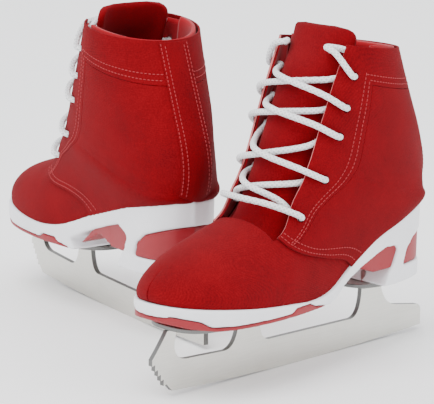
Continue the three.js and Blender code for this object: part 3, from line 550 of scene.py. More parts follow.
# %% [markdown]
# The boot is a red canvas with a slightly uneven thread, over a smoother knitted lining. The soles
# are glossy moulded plastic, dulled by handling. The steel is ground along the blade, which leaves
# fine lines, and the lace is a round white braid. Each finish is tones and a shallow bump from noise
# and sines, so it needs no pictures and holds up close.

# %% Finishes
TURN = 2 * np.pi
BRAID_REPEAT = 3.2
BRAID_STRANDS = 4


def woven(name, slot, dark, light, pitch, roughness, depth, sheen):
    """A plain weave that follows a sheet's lengths, with slubs and a faint mottle."""
    made = Finish(name, slot, Sheen_Weight=sheen, Sheen_Roughness=0.5, Specular_IOR_Level=0.1)
    u = made.axis("UV", 0) * (TURN / (pitch * MM))
    v = made.axis("UV", 1) * (TURN / (pitch * MM))
    checks = u.sin() * v.sin()
    threads = (u * 2).sin().abs() * 0.5 + (v * 2).sin().abs() * 0.5
    slubs = made.noise(900, 2.0)
    mottle = made.noise(38, 4.0, 0.6)
    made.set(Base_Color=made.mix(checks * 0.10 + slubs * 0.55 + mottle * 0.45, dark, light))
    made.set(Roughness=mottle * 0.12 + roughness)
    made.bump(checks * 0.3 + threads * 0.2 + slubs * 1.2, 0.55, depth)
    return made.material


def moulded(name, slot, dark, light, roughness, grain):
    """Moulded plastic: a fine grain, a slow change of tone and a few scuffs."""
    made = Finish(name, slot, Specular_IOR_Level=0.45)
    tone = made.noise(26, 5.0, 0.6)
    speck = made.noise(1500, 2.0)
    scuffs = (made.noise((240, 240, 40), 6.0, 0.7) - 0.6).most(0.0) * 2.0
    made.set(Base_Color=made.mix(tone + scuffs * 0.6, light, dark),
             Roughness=speck * 0.12 + scuffs * 0.5 + roughness)
    made.bump(speck + scuffs * -1.5, 0.35, grain)
    return made.material


def ground_steel(name, slot, dark, light, roughness, direction):
    """Satin ground steel with fine lines along the blade."""
    made = Finish(name, slot, Metallic=1.0)
    lines = made.noise(direction, 5.0, 0.65)
    cloud = made.noise(22, 3.0)
    made.set(Base_Color=made.mix(lines * 0.6 + cloud * 0.45, dark, light), Roughness=lines * 0.18 + roughness)
    made.bump(lines, 0.12, 0.05)
    return made.material


def braid_with_painted_groove_shade():
    made = Finish("lace_braid_painted_shade", "lace", Sheen_Weight=0.3, Specular_IOR_Level=0.2)
    u = made.axis("UV", 0) * (TURN / (BRAID_REPEAT * MM))
    v = made.axis("UV", 1) * TURN * BRAID_STRANDS
    strands = (u + v).sin().most((u - v).sin())
    fuzz = made.noise(1800, 2.0)
    # The grey between the strands is painted shade in the braid's grooves; the cord itself is white
    # throughout.
    made.set(Base_Color=made.mix(strands * 0.35 + fuzz * 0.4 + 0.2, (0.50, 0.50, 0.52), (0.93, 0.93, 0.93)),
             Roughness=fuzz * 0.1 + 0.8)
    made.bump(strands + fuzz * 0.5, 0.6, 0.35)
    return made.material


def matt(name, slot, dark, light, roughness):
    made = Finish(name, slot)
    fibres = made.noise(700, 4.0, 0.6)
    made.set(Base_Color=made.mix(fibres, dark, light), Roughness=fibres * 0.1 + roughness)
    made.bump(fibres, 0.3, 0.2)
    return made.material


FABRIC = woven("upper_weave", "upper_fabric", (0.040, 0.000, 0.001), (0.265, 0.001, 0.006),
               pitch=1.1, roughness=0.88, depth=0.2, sheen=0.02)
KNIT = woven("lining_knit", "lining", (0.200, 0.001, 0.005), (0.380, 0.004, 0.012),
             pitch=0.8, roughness=0.70, depth=0.08, sheen=0.12)
WHITE = moulded("white_moulding", "sole_shell", (0.70, 0.70, 0.73), (0.90, 0.90, 0.92), 0.36, 0.05)
RED = moulded("red_moulding", "sole_tread", (0.18, 0.002, 0.007), (0.32, 0.006, 0.014), 0.40, 0.06)
BLADE = ground_steel("ground_steel", "blade_steel", (0.50, 0.49, 0.45), (0.80, 0.79, 0.74),
                     roughness=0.30, direction=(60, 60, 1400))
# A near-black copy of the same steel for the edge faces of blades and plates: painted shade, not another
# metal.
PAINTED_SHADE_EDGE_STEEL = ground_steel("blade_edge_painted_shade", "blade_steel", (0.10, 0.10, 0.10), (0.24, 0.24, 0.23),
                          roughness=0.38, direction=(900, 900, 60))
SCREW = ground_steel("plated_screw", "screw_steel", (0.42, 0.42, 0.40), (0.66, 0.66, 0.62),
                     roughness=0.30, direction=(300, 300, 300))
BRAID = braid_with_painted_groove_shade()
BOARD = matt("fibre_board", "reinforcement", (0.20, 0.15, 0.10), (0.36, 0.29, 0.21), 0.85)
CUT_EDGE = matt("cut_edge", "upper_fabric", (0.45, 0.07, 0.07), (0.72, 0.24, 0.23), 0.85)
THREAD = matt("stitching", "upper_fabric", (0.20, 0.004, 0.008), (0.40, 0.016, 0.022), 0.6)
print("materials", len(bpy.data.materials))

# %% [markdown]
# ## The upper
# The vamp covers the toes in one piece and runs back under the quarters, which wrap the heel. Under
# it lie a stiff toe puff, which keeps the toe's shape, and a lining. All three use one lattice, laid
# from the tip of the toe backwards, so they follow each other exactly.

# %% Forefoot sheets
FRONT_CLEARANCE = 0.2
VAMP_LAP = 0.7
# The outer sheets run on a little into the sole, which closes the line between them. The inner ones
# stop short of it. The vamp dips where it laps under the quarters.
SINK = 0.012
SET_BACK = 0.035
VAMP_SKIVE = 0.4


def forefoot_place(r, c):
    around = np.abs(c)
    facing = float(facing_around(FACING_START))
    above = around <= facing
    front = np.where(above, THROAT - 0.5, quarter_front((1 - around) / (1 - facing)) - FRONT_CLEARANCE)
    end = np.where(above, THROAT, front + FRONT_CLEARANCE + VAMP_LAP)
    return np.where(r <= 1, front * r, front + (end - front) * (r - 1))


def forefoot(name, skate, rows, depths, finish, sink, rounded=0.0):
    r, c = np.meshgrid(rows, np.linspace(-1, 1, 97), indexing="ij")
    s = forefoot_place(r, c)
    around = c * (1 + sink)
    bent = np.clip(r - 1, 0, 1) * rounded
    outer = offset_point(s, around, depths[0] - bent)
    inner = offset_point(s, around, depths[1] - bent * 0.5)
    made = sheet(name, skate, outer, inner, finish)
    turn_out(made.data, WELD)
    return made


for skate in SKATES:
    rows = np.concatenate([np.linspace(0, 1, 60)**1.15, np.linspace(1.1, 2, 10)])
    soften(forefoot("toe_vamp", skate, rows, VAMP, [FABRIC], SINK, VAMP_SKIVE))
    forefoot("toe_puff", skate, np.linspace(0, 0.5, 20), PUFF, [BOARD], -SET_BACK)
    forefoot("vamp_lining", skate, np.linspace(0, 1, 36), VAMP_LINING, [KNIT], -SET_BACK)
print("forefoot sheets done")

# %% [markdown]
# The lower quarter and the eyestay meet at a seam: the eyestay runs down beside the facing and round
# the collar as a band. It could be cut from the quarter with a boolean, but leaving cells out of a
# shared lattice gives an edge that fits its neighbour exactly. The holes are punched through it and
# through the strip that backs it.

# %% Quarters and eyestays
SEAM_WIDTH = 0.001
QUARTER_ROWS = 66
QUARTER_COLUMNS = 50
STRIP_SHARES = (0.79, 0.992)
STRIP = (0.1, -0.9)
PUNCH_REACH = 8
PUNCH_SIDES = 28


def quarter_sheet(name, skate, side, along, share, finish, depths=QUARTER):
    s, around = quarter_place(*np.meshgrid(along, share, indexing="ij"), SINK)
    outer, inner = (offset_point(s, side * around, depth) for depth in depths)
    return sheet(name, skate, outer, inner, finish)


def eyestay(name, skate, side):
    """An L-shaped sheet: the lattice is full, and the cells of the lower quarter are left out."""
    band, seam = BAND_ALONG + SEAM_WIDTH, SEAM_SHARE + SEAM_WIDTH
    along = np.concatenate([np.linspace(0, band, QUARTER_ROWS), np.linspace(band, 1, 16)[1:]])
    share = np.concatenate([np.linspace(0, seam, QUARTER_COLUMNS), np.linspace(seam, 1, 22)[1:]])
    s, around = quarter_place(*np.meshgrid(along, share, indexing="ij"), SINK)
    outer, inner = (offset_point(s, side * around, depth) for depth in QUARTER)
    rows, columns = outer.shape[:2]
    filled = np.ones((rows + 1, columns + 1), dtype=bool)
    filled[0] = filled[-1] = False
    filled[:, 0] = filled[:, -1] = False
    filled[1:QUARTER_ROWS, 1:QUARTER_COLUMNS] = False
    o = np.arange(rows * columns).reshape(rows, columns)
    n = rows * columns
    faces, marks = [], []
    for i in range(rows - 1):
        for j in range(columns - 1):
            if not filled[i + 1, j + 1]:
                continue
            p, q, r, t = o[i, j], o[i, j + 1], o[i + 1, j + 1], o[i + 1, j]
            faces += [[p, q, r, t], [p + n, t + n, r + n, q + n]]
            marks += [0, 0]
            for there, (e, f) in (((i, j + 1), (p, q)), ((i + 2, j + 1), (r, t)),
                                  ((i + 1, j), (t, p)), ((i + 1, j + 2), (q, r))):
                if not filled[there]:
                    faces.append([e, e + n, f + n, f])
                    marks.append(1 if there[1] == columns else 0)
    points = np.concatenate([outer.reshape(-1, 3), inner.reshape(-1, 3)])
    uv = np.concatenate([lengths(outer).reshape(-1, 2)] * 2)
    return add_object(name, skate, points, faces, [FABRIC, CUT_EDGE], uv=uv, marked=marks)


def eyelet(side, pair):
    s = EYELET_SECTIONS[pair]
    return s, side * (float(facing_around(s)) + EYELET_SETBACK)


def punch(made, skate, side):
    """Cuts the five round holes of one eyestay."""
    turn = np.linspace(0, TURN, PUNCH_SIDES, endpoint=False)
    cutters = []
    for pair in range(5):
        s, around = eyelet(side, pair)
        middle = offset_point(s, around, 0.0)
        out = offset_point(s, around, 1.0) - middle
        flat = np.cross(out, [0, 0, 1.0])
        flat /= np.linalg.norm(flat)
        ring = HOLE_RADIUS * (np.cos(turn)[:, None] * flat + np.sin(turn)[:, None] * np.cross(out, flat))
        ends = (skate.place(middle + ring + reach * out) / MM for reach in (-PUNCH_REACH, PUNCH_REACH))
        cutters.append(temporary(*loft(*ends)))
    combine(made, cutters, "DIFFERENCE")


for skate in SKATES:
    for side, word in ((1, "lateral"), (-1, "medial")):
        soften(quarter_sheet(f"{word}_quarter", skate, side, np.linspace(0, BAND_ALONG, QUARTER_ROWS),
                             np.linspace(0, SEAM_SHARE, QUARTER_COLUMNS), [FABRIC]))
        stay = eyestay(f"{word}_eyestay", skate, side)
        punch(stay, skate, side)
        soften(stay, 0.3)
        strip = quarter_sheet(f"{word}_eyelet_strip", skate, side, np.linspace(0.03, 0.985, 50),
                              np.linspace(*STRIP_SHARES, 12), [KNIT], STRIP)
        punch(strip, skate, side)
print("quarters done")

# %% [markdown]
# Three pieces wrap the heel: a stiff counter between the quarters and the lining, the lining itself,
# padded round the ankle and rolled at the collar, and the back stay that covers the join of the two
# quarters. Each is made as two halves that meet on the centre line.

# %% Heel pieces
LINING_EDGE = 1.2


def heel_rows(start, end, first=24, second=36):
    return np.concatenate([np.linspace(start, HEEL_ALONG, first), np.linspace(HEEL_ALONG, end, second)[1:]])


def padding(along, share):
    """The lining's inner face: full inside, thinning to a rolled edge at the collar and the front."""
    top = np.clip((1.012 - along) / 0.05, 0, 1)
    front = np.clip((0.995 - share) / 0.10, 0, 1)
    rolled = np.sqrt(1 - (1 - np.minimum(top, front)) ** 2)
    edge = COLLAR_LINING[0] - LINING_EDGE
    return edge - (edge - COLLAR_LINING[1]) * rolled


for skate in SKATES:
    wrap("heel_counter", skate, heel_rows(0.17, 0.716), np.linspace(0, 0.42, 14), COUNTER, [BOARD], -0.02)
    lining = wrap("collar_lining", skate, heel_rows(0, 1.006, 24, 44), np.linspace(0, 0.775, 44),
                  (COLLAR_LINING[0], padding), [KNIT], -0.03)
    stay = wrap("back_stay", skate, heel_rows(HEEL_ALONG + 0.012, 0.993, 2, 50)[1:],
                np.linspace(0, 0.115, 12), BACK_STAY, [FABRIC])
    soften(stay, 0.4)
print("heel pieces done")

# %% [markdown]
# The tongue is a padded strip under the lace, quilted lengthwise and rounded at its top. It is one
# sheet whose thickness swells from a thin edge. It lies on its own body, since it folds forward.

# %% Tongue
TONGUE_TOP = 18.95
TONGUE_EDGE = 1.0


def tongue(skate):
    s, c = np.meshgrid(np.linspace(4.2, TONGUE_TOP, 110), np.linspace(-1, 1, 41), indexing="ij")
    crowned = np.clip((s - COLLAR) / (TONGUE_TOP - COLLAR), 0, 1)
    half = (facing_around(s) + 0.08) * np.where(s < FACING_START, 0.75, 1) * np.sqrt(1 - 0.9 * crowned**3)
    edge = np.minimum(1 - np.abs(c), 1.0)
    near = np.minimum(np.clip(edge / 0.16, 0, 1), np.clip((TONGUE_TOP - s) / 0.32, 0, 1))
    plump = np.sqrt(1 - (1 - near) ** 2)
    quilt = 0.5 * np.cos(c * np.pi * 1.5) ** 2
    middle = (TONGUE[0] + TONGUE[1]) / 2
    thick = TONGUE_EDGE + (TONGUE[0] - TONGUE[1] - TONGUE_EDGE) * plump
    outer = offset_point(s, c * half, middle + thick / 2 - quilt * 0.4)
    inner = offset_point(s, c * half, middle - thick / 2)
    made = sheet("tongue", skate, outer, inner, [FABRIC], body=f"{skate.prefix}_tongue")


for skate in SKATES:
    tongue(skate)
print("tongues done")

# %% [markdown]
# Stitches are small thread capsules laid along rows, two rows at each seam as on the real upper. A
# bump pattern would be lighter, but real stitches catch the light and keep their shape close to.

# %% Stitching
STITCH_PITCH = 3.0
STITCH_LENGTH = 2.2
STITCH_RADIUS = 0.38


def capsule():
    """Points and faces of one stitch along x, its middle at the origin."""
    sides = 6
    turn = np.linspace(0, TURN, sides, endpoint=False)
    profile = [(-0.5, 0.15), (-0.38, 0.8), (-0.1, 1.0), (0.1, 1.0), (0.38, 0.8), (0.5, 0.15)]
    rings = [np.stack([np.full(sides, x * STITCH_LENGTH), r * STITCH_RADIUS * np.cos(turn),
                       r * STITCH_RADIUS * np.sin(turn)], -1) for x, r in profile]
    return np.concatenate(rings), ring_faces(len(profile), sides)


def stitch_rows(name, skate, rows, depth):
    """rows: pairs of sections and ways round, each a dense line on the last."""
    shape, shape_faces = capsule()
    points, faces = [], []
    for s, around in rows:
        line = offset_point(s, around, depth)
        out = offset_point(s, around, depth + 1.0) - line
        run = np.concatenate([[0], np.linalg.norm(np.diff(line, axis=0), axis=-1).cumsum()])
        for at in np.arange(STITCH_PITCH / 2, run[-1], STITCH_PITCH):
            middle, before, after = (np.array([np.interp(at + d, run, line[:, k]) for k in range(3)])
                                     for d in (0, -0.8, 0.8))
            along = after - before
            along /= np.linalg.norm(along)
            up = np.array([np.interp(at, run, out[:, k]) for k in range(3)])
            across = np.cross(up, along)
            across /= np.linalg.norm(across)
            up = np.cross(along, across)
            faces += [[i + len(shape) * len(points) for i in f] for f in shape_faces]
            points.append(middle + shape @ np.stack([along, across, up]))
    return add_object(name, skate, np.concatenate(points), faces, [THREAD], replacing=False)


def line_on(side, along, share):
    s, around = quarter_place(along, share)
    return s, side * around


def seam_rows(side):
    """The rows of one side: along the quarter's front edge, and the seam up to and round the collar."""
    share = np.linspace(0.03, 0.985, 120)
    rows = [line_on(side, along, share) for along in (0.016, 0.042)]
    for inset in (0.026, 0.056):
        band, seam = BAND_ALONG + inset * 0.55, SEAM_SHARE + inset
        rows.append(line_on(side, np.linspace(0.02, band, 160), seam))
        rows.append(line_on(side, band, np.linspace(seam, 0.125, 120)))
    return rows


def stay_rows():
    along = np.linspace(HEEL_ALONG + 0.02, 0.985, 160)
    return [line_on(side, along, share) for side in (1, -1) for share in (0.075, 0.105)]


for skate in SKATES:
    stitch_rows("seam_stitches", skate, seam_rows(1) + seam_rows(-1), QUARTER[0])
    stitch_rows("back_stay_stitches", skate, stay_rows(), BACK_STAY[0])
print("stitching done")

# %% [markdown]
# ## The sole
# The white shell is drawn in side view for each face of the foot and ruled across, then cut to the
# foot's outline. Modelling it point by point would take longer, and it wouldn't follow the foot line.

# %% Foot outline
RULE_REACH = 49.0
BODY_TOP = 118.0
BODY_BOTTOM = SOLE_BOTTOM - 8
TAPER = (150, 230)


def outline(grow, squeeze=1.0):
    """The foot line seen from above, moved out, and drawn in towards the heel's bottom."""
    s = np.concatenate([np.linspace(0.04, 1, 14), np.linspace(1, 12, 90)[1:], np.linspace(12, 12.96, 16)[1:]])
    halves = []
    for sign in (1, -1):
        p = foot_point(s, sign)[:, :2]
        ahead = foot_point(s + 0.03, sign)[:, :2] - foot_point(s - 0.03, sign)[:, :2]
        ahead /= np.linalg.norm(ahead, axis=-1, keepdims=True)
        normal = np.stack([-ahead[:, 1], ahead[:, 0]], -1) * sign
        halves.append(p + normal * grow)
    toe = foot_point(np.array([0.0]), 1)[:, :2] - [grow, 0]
    heel = foot_point(np.array([HEEL_BACK]), 1)[:, :2] + [grow, 0]
    ring = np.concatenate([toe, halves[0], heel, halves[1][::-1]])
    scale = 1 + (squeeze - 1) * ramp(ring[:, 0], *TAPER)
    ring[:, 1] *= scale
    behind = ring[:, 0] > TAPER[1]
    ring[behind, 0] = TAPER[1] + (ring[behind, 0] - TAPER[1]) * scale[behind]
    return ring


def body_solid(skate, grow):
    """The space that the sole fills, seen from above, wider at its top than at the heel's bottom."""
    low, high = (np.concatenate([ring, np.full((len(ring), 1), z)], -1)
                 for ring, z in ((outline(grow, HEEL_TAPER), BODY_BOTTOM), (outline(grow), BODY_TOP)))
    return temporary(*loft(skate.place(low) / MM, skate.place(high) / MM))


def ruled(skate, outside, inside=None):
    """A solid between two side views, one beyond each face of the foot."""
    faces = ((outside, RULE_REACH), (outside if inside is None else inside, -RULE_REACH))
    rings = [np.array([[x, y, z] for x, z in points], float) for points, y in faces]
    return temporary(*loft(*(skate.place(r) / MM for r in rings)))


def foot_heights(x):
    """Heights of the foot line at x, carried out to the faces of a ruled solid."""
    table = np.linspace(0, HEEL_BACK, 400)
    s = np.interp(x, column(FOOT_X, table), table)
    outer, inner = foot_point(s, 1), foot_point(s, -1)
    rise = (outer[:, 2] - inner[:, 2]) / np.maximum(outer[:, 1] - inner[:, 1], 20)
    return outer[:, 2] + rise * (RULE_REACH - outer[:, 1]), inner[:, 2] - rise * (RULE_REACH + inner[:, 1])


# %% [markdown]
# Seen from the side, the white rim steps up over the red tread in two tabs, bridges the arch and
# stands on a strut at the heel. The red parts fill what it leaves open and stand back a little. The
# lines below are those side views, in x and z.

# %% Sole side views
SOLE_VOXEL = 1.1
TREAD_LINE = [(-12, 61), (0, 57), (12, 53.5), (26, 51.3), (40, SOLE_BOTTOM), (134, SOLE_BOTTOM)]
ARCH_LINE = [
    [(146, 55), (158, 63), (171, 69), (185, 74.5), (200, 79.5)],
    [(128, 60), (144, 67), (161, 73), (180, 79), (200, 84.5)],
]
STRUT_FRONT = [(209, 80), (212, 76), (209, 68), (203, 60), (197, SOLE_BOTTOM)]
INSERT = [(219, 63), (223, 74), (232, 81.5), (250, 87.5), (280, 95), (280, 63)]
HEEL_BREAST = [(172, 69), (188, 63)]
TABS = [(-2, 22), (90, 116)]


def tread_level(x, shift):
    return np.interp(x, [p[0] for p in TREAD_LINE], [p[1] for p in TREAD_LINE]) + TREAD_THICKNESS + shift


def tread_top(shift):
    """The line between the white rim and the red tread, with its two raised tabs."""
    points = [(x, z + TREAD_THICKNESS + shift) for x, z in TREAD_LINE[:-1]]
    for start, end in TABS:
        points = [p for p in points if not start < p[0] < end]
        points += [(start, tread_level(start, shift)), (start + 4, tread_level(start + 4, shift) + TAB_RISE),
                   (end - 6, tread_level(end - 6, shift) + TAB_RISE), (end, tread_level(end, shift))]
    return sorted(points)


def shell_sides(skate):
    x = np.linspace(275, -12, 70)
    tops = foot_heights(x)
    front = [*tread_top(GAP), (134, SOLE_BOTTOM)]
    return ruled(skate, *([*front, *arch, *STRUT_FRONT, (280, SOLE_BOTTOM), *zip(x, top - 0.6)]
                          for arch, top in zip(ARCH_LINE, tops)))


def finish_moulding(name, skate, made, material, voxel=SOLE_VOXEL, rounds=5):
    """Remeshed evenly and relaxed, so that every edge is rounded as a moulding's is."""
    modifier(made, "REMESH", mode="VOXEL", voxel_size=voxel * MM, use_smooth_shade=True)
    modifier(made, "SMOOTH", factor=0.5, iterations=rounds)
    mesh = bpy.data.meshes.new_from_object(made.evaluated_get(bpy.context.evaluated_depsgraph_get()))
    bpy.data.objects.remove(made)
    mesh.materials.append(material)
    mesh.polygons.foreach_set("use_smooth", [True] * len(mesh.polygons))
    final = bpy.data.objects.new(f"{skate.prefix}_{name}", mesh)
    bpy.context.scene.collection.objects.link(final)
    settle(final, skate, node=name)


for skate in SKATES:
    shell = combine(body_solid(skate, RIM_PROUD), [shell_sides(skate)], "INTERSECT")
    combine(shell, [ruled(skate, INSERT)], "DIFFERENCE")
    finish_moulding("outsole_shell", skate, shell, WHITE)
    side = [*tread_top(0), (132, SOLE_BOTTOM), *TREAD_LINE[:-1][::-1]]
    tread = combine(body_solid(skate, RIM_PROUD - 0.6), [ruled(skate, side)], "INTERSECT")
    finish_moulding("forefoot_tread", skate, tread, RED, 0.9, 3)
    outside = [(136, 60), (150, 63), (168, 70.5), *HEEL_BREAST, (206, 63), (216, 80), (180, 83)]
    inside = [(136, 54), (150, 60), (168, 69), *HEEL_BREAST, (206, 63), (216, 80), (180, 88)]
    core = combine(body_solid(skate, RIM_PROUD - CORE_RECESS - 1), [ruled(skate, outside, inside)],
                   "INTERSECT")
    finish_moulding("arch_core", skate, core, RED)
    insert = combine(body_solid(skate, RIM_PROUD - CORE_RECESS), [ruled(skate, INSERT)], "INTERSECT")
    finish_moulding("heel_insert", skate, insert, RED)
print("soles done")

# %% [markdown]
# The insole board and the footbed lie inside the foot line, one on the other. The board is stiff and
# carries the screws; the footbed is soft and covered in the lining's knit.

# %% Boards
def foot_board(name, skate, rise, thickness, set_in, finish):
    s, r = np.meshgrid(np.concatenate([np.linspace(1.0, 2, 16)[:-1], np.linspace(2, 12.35, 60)]),
                       np.linspace(-1, 1, 21), indexing="ij")
    outer, inner = foot_point(s, 1), foot_point(s, -1)
    middle = (SECTIONS[0, FOOT_X] + SECTIONS[13, FOOT_X]) / 2
    half = (SECTIONS[13, FOOT_X] - SECTIONS[0, FOOT_X]) / 2
    y = r * (np.where(r > 0, outer[..., 1], -inner[..., 1]) - set_in)
    share = (y - inner[..., 1]) / (outer[..., 1] - inner[..., 1])
    z = inner[..., 2] + share * (outer[..., 2] - inner[..., 2]) + rise
    x = middle + (outer[..., 0] - middle) * (half - set_in) / half
    top = np.stack([x, y, z + thickness], -1)
    return sheet(name, skate, top, np.stack([x, y, z], -1), finish)


for skate in SKATES:
    foot_board("insole_board", skate, 0.3, 2.2, 6.9, [BOARD])
    soften(foot_board("footbed", skate, 2.85, 4.0, 7.3, [KNIT]), 0.8)
print("boards done")

# %% [markdown]
# ## Blade, plates and screws
# The blade is one flat plate of steel. Its bottom edge is a shallow arc, its front is cut into teeth,
# and its top rises in three posts to the mounting plates. It is drawn as a side view and given its
# thickness, as it would be cut from sheet. The edge faces are painted darker than the sides, as shade.

# %% Blade outline
def arc(start, control, end, steps=14):
    """A quadratic curve between two points, without its first point."""
    t = np.linspace(0, 1, steps + 1)[1:, None]
    a, b, c = (np.array(p, float) for p in (start, control, end))
    return [tuple(p) for p in (1 - t) ** 2 * a + 2 * (1 - t) * t * b + t**2 * c]


def cubic(start, first, second, end, steps=20):
    t = np.linspace(0, 1, steps + 1)[1:, None]
    a, b, c, d = (np.array(p, float) for p in (start, first, second, end))
    return [tuple(p) for p in (1 - t)**3 * a + 3 * (1 - t)**2 * t * b + 3 * (1 - t) * t**2 * c + t**3 * d]


def rocker(x):
    return (x - ROCKER_LOW_POINT) ** 2 / (2 * ROCKER_RADIUS)


def blade_outline():
    top = BLADE_HEIGHT
    points = [(x, rocker(x)) for x in np.linspace(RAKE["tail"][0], BLADE_LENGTH, 60)]
    points += [(BLADE_LENGTH, 14), *arc((BLADE_LENGTH, 14), (BLADE_LENGTH, 19.5), (266, 20)), (243, 24)]
    points += [*arc((243, 24), (229, 27), (227, top)), (207, top)]
    points += [*arc((207, top), (207, 21.5), (195, 21.5)), (111, 22.8)]
    points += [*arc((111, 22.8), (101, 24), (101, top)), (82, top)]
    points += [*arc((82, top), (81, 23), (68, 22.6)), (31, 24.4)]
    points += [*arc((31, 24.4), (15, 27), (23.5, top)), (14, top)]
    points += arc((14, top), (8, 38), RAKE["top"])
    start, end = np.array(RAKE["top"], float), np.array(RAKE["bottom"], float)
    out = np.array([start[1] - end[1], end[0] - start[0]])
    out *= -TOOTH_DEPTH / np.linalg.norm(out)
    for i in range(TOOTH_COUNT):
        points += [tuple(start + (end - start) * (i + 0.8) / TOOTH_COUNT + out),
                   tuple(start + (end - start) * (i + 1) / TOOTH_COUNT)]
    return points


# %% [markdown]
# The plates are ovals that taper towards the arch and the heel, screwed up into the sole. The screws
# have rounded heads with a cross cut in them, seen from below.

# %% Plates and screws
SCREW_SIDES = 24
CROSS = (2.2, 0.45)


def slab(name, skate, ring, low, high, flat, bevel):
    """An outline given a thickness. flat puts its points in place from two numbers and a depth."""
    front, back = (np.array([flat(a, b, depth) for a, b in ring], float) for depth in (low, high))
    points, faces = loft(front, back)
    # The walls take the second finish, the darker steel that paints shade on the narrow edges.
    marks = [0, 0] + [1] * (len(faces) - 2)
    made = add_object(name, skate, points, faces, [BLADE, PAINTED_SHADE_EDGE_STEEL], smooth=False, marked=marks)
    modifier(made, "BEVEL", width=bevel * MM, segments=2, limit_method="ANGLE", angle_limit=np.radians(60),
             use_clamp_overlap=False)


def plate_outline(start, end, widest, half, end_half):
    points = [(start, 0.0), *cubic((start, 0), (start, half * 0.95), (start + 18, half), (widest, half))]
    points += cubic((widest, half), (end - 22, half), (end, end_half * 1.5), (end, 0))
    return points + [(x, -y) for x, y in points[-2:0:-1]]


def screw(name, skate, x, y):
    """A pan-head screw seen from below, with a cross cut in its head."""
    under = PLATE_BOTTOM - GAP
    profile = [(0.0, under - 1.9), (1.6, under - 1.85), (3.0, under - 1.4), (3.9, under - 0.7), (4.2, under),
               (2.0, under), (2.0, under + 11), (0.0, under + 12)]
    turn = np.linspace(0, TURN, SCREW_SIDES, endpoint=False)
    rings = [np.stack([x + max(r, 0.01) * np.cos(turn), y + max(r, 0.01) * np.sin(turn),
                       np.full(SCREW_SIDES, z)], -1) for r, z in profile]
    made = add_object(name, skate, np.concatenate(rings), ring_faces(len(profile), SCREW_SIDES), [SCREW])
    cross = []
    for half in (CROSS, CROSS[::-1]):
        corners = np.array([(-1, -1), (1, -1), (1, 1), (-1, 1)])
        base = np.array([x, y]) + corners * half
        rings = [np.concatenate([base, np.full((4, 1), z)], -1) for z in (under - 3, under - 0.9)]
        cross.append(temporary(*loft(*(skate.place(r) / MM for r in rings))))
    return combine(made, cross, "DIFFERENCE")


for skate in SKATES:
    slab("blade", skate, blade_outline(), -BLADE_THICKNESS / 2, BLADE_THICKNESS / 2,
         lambda a, b, depth: (a, depth, b), 0.3)
    for name, size in (("toe_plate", TOE_PLATE), ("heel_plate", HEEL_PLATE)):
        slab(name, skate, plate_outline(**size), PLATE_BOTTOM, PLATE_BOTTOM + PLATE_THICKNESS,
             lambda a, b, depth: (a, b, depth), 0.5)
    for word, places in (("toe", TOE_SCREWS), ("heel", HEEL_SCREWS)):
        for i, (x, y) in enumerate(places):
            screw(f"{word}_screw_{i + 1}", skate, x, y)
print("steel done")

# %% [markdown]
# ## The lace
# One round braided cord: up through each hole from inside, over the facing's edge, across the tongue
# and under the other facing, with a bar across the bottom pair and both ends tucked in at the top.

# %% Lace route
def lace_route():
    outside = QUARTER[0] + LACE_RADIUS + 0.5
    under = STRIP[1] - LACE_RADIUS - 0.6
    bottom = len(EYELET_SECTIONS) - 1
    lean = 0.018

    def hole(side, pair, depth, inward=0.0):
        s, around = eyelet(side, pair)
        return offset_point(s, around - side * inward, depth)

    def through(side, pair):
        return hole(side, pair, 0.5, -0.005)

    def rise(side, pair):
        return [hole(side, pair, under, lean), through(side, pair), hole(side, pair, outside, lean)]

    def edge(s):
        return float(facing_around(s)) - 0.02

    def across(side, pair, lift):
        s0, s1 = EYELET_SECTIONS[pair], EYELET_SECTIONS[pair - 1]
        near, middle, far = (s0 + (s1 - s0) * share for share in (0.22, 0.5, 0.78))
        return [offset_point(near, side * edge(near), outside - 0.6), offset_point(middle, 0.0, lift),
                offset_point(far, -side * edge(far), under + 0.3)]

    def tuck(side):
        around = float(facing_around(17.7))
        path = ((17.5, -0.04, outside - 0.8), (17.8, -0.1, -0.5), (17.85, -0.03, under), (17.7, 0.05, under))
        return [offset_point(s, side * (around + way), depth) for s, way, depth in path]

    def half(first, lifts):
        s0, s1 = EYELET_SECTIONS[bottom], EYELET_SECTIONS[bottom - 1]
        low, far = s0 + (s1 - s0) * 0.2, s0 + (s1 - s0) * 0.8
        points = [hole(first, bottom, under, lean),
                  offset_point(low, first * float(facing_around(low)) * 0.75, under + 0.8),
                  offset_point((s0 + s1) / 2, 0.0, lifts[bottom]),
                  offset_point(far, -first * edge(far), under + 0.3)]
        side = -first
        points += rise(side, bottom - 1)
        for pair in range(bottom - 1, 0, -1):
            points += across(side, pair, lifts[pair])
            side = -side
            points += rise(side, pair - 1)
        return points + tuck(side)

    low, high = -2.5, 2.7
    s_bar = EYELET_SECTIONS[bottom]
    bar = [offset_point(s_bar, share * float(facing_around(s_bar)), outside + 0.8)
           for share in (0.6, 0.0, -0.6)]
    enter = [[hole(side, bottom, outside, lean), through(side, bottom)] for side in (1, -1)]
    return np.array([*half(1, [0, low, high, low, high])[::-1], *enter[0][::-1], *bar, *enter[1],
                     *half(-1, [0, high, low, high, low])])


# %% [markdown]
# The route is smoothed into one curve, and a ring of points is carried along it without twisting. The
# rings swell a little where the strands of the braid cross, which the finish then follows.

# %% Lace tube
LACE_SIDES = 16
LACE_STEP = 0.7


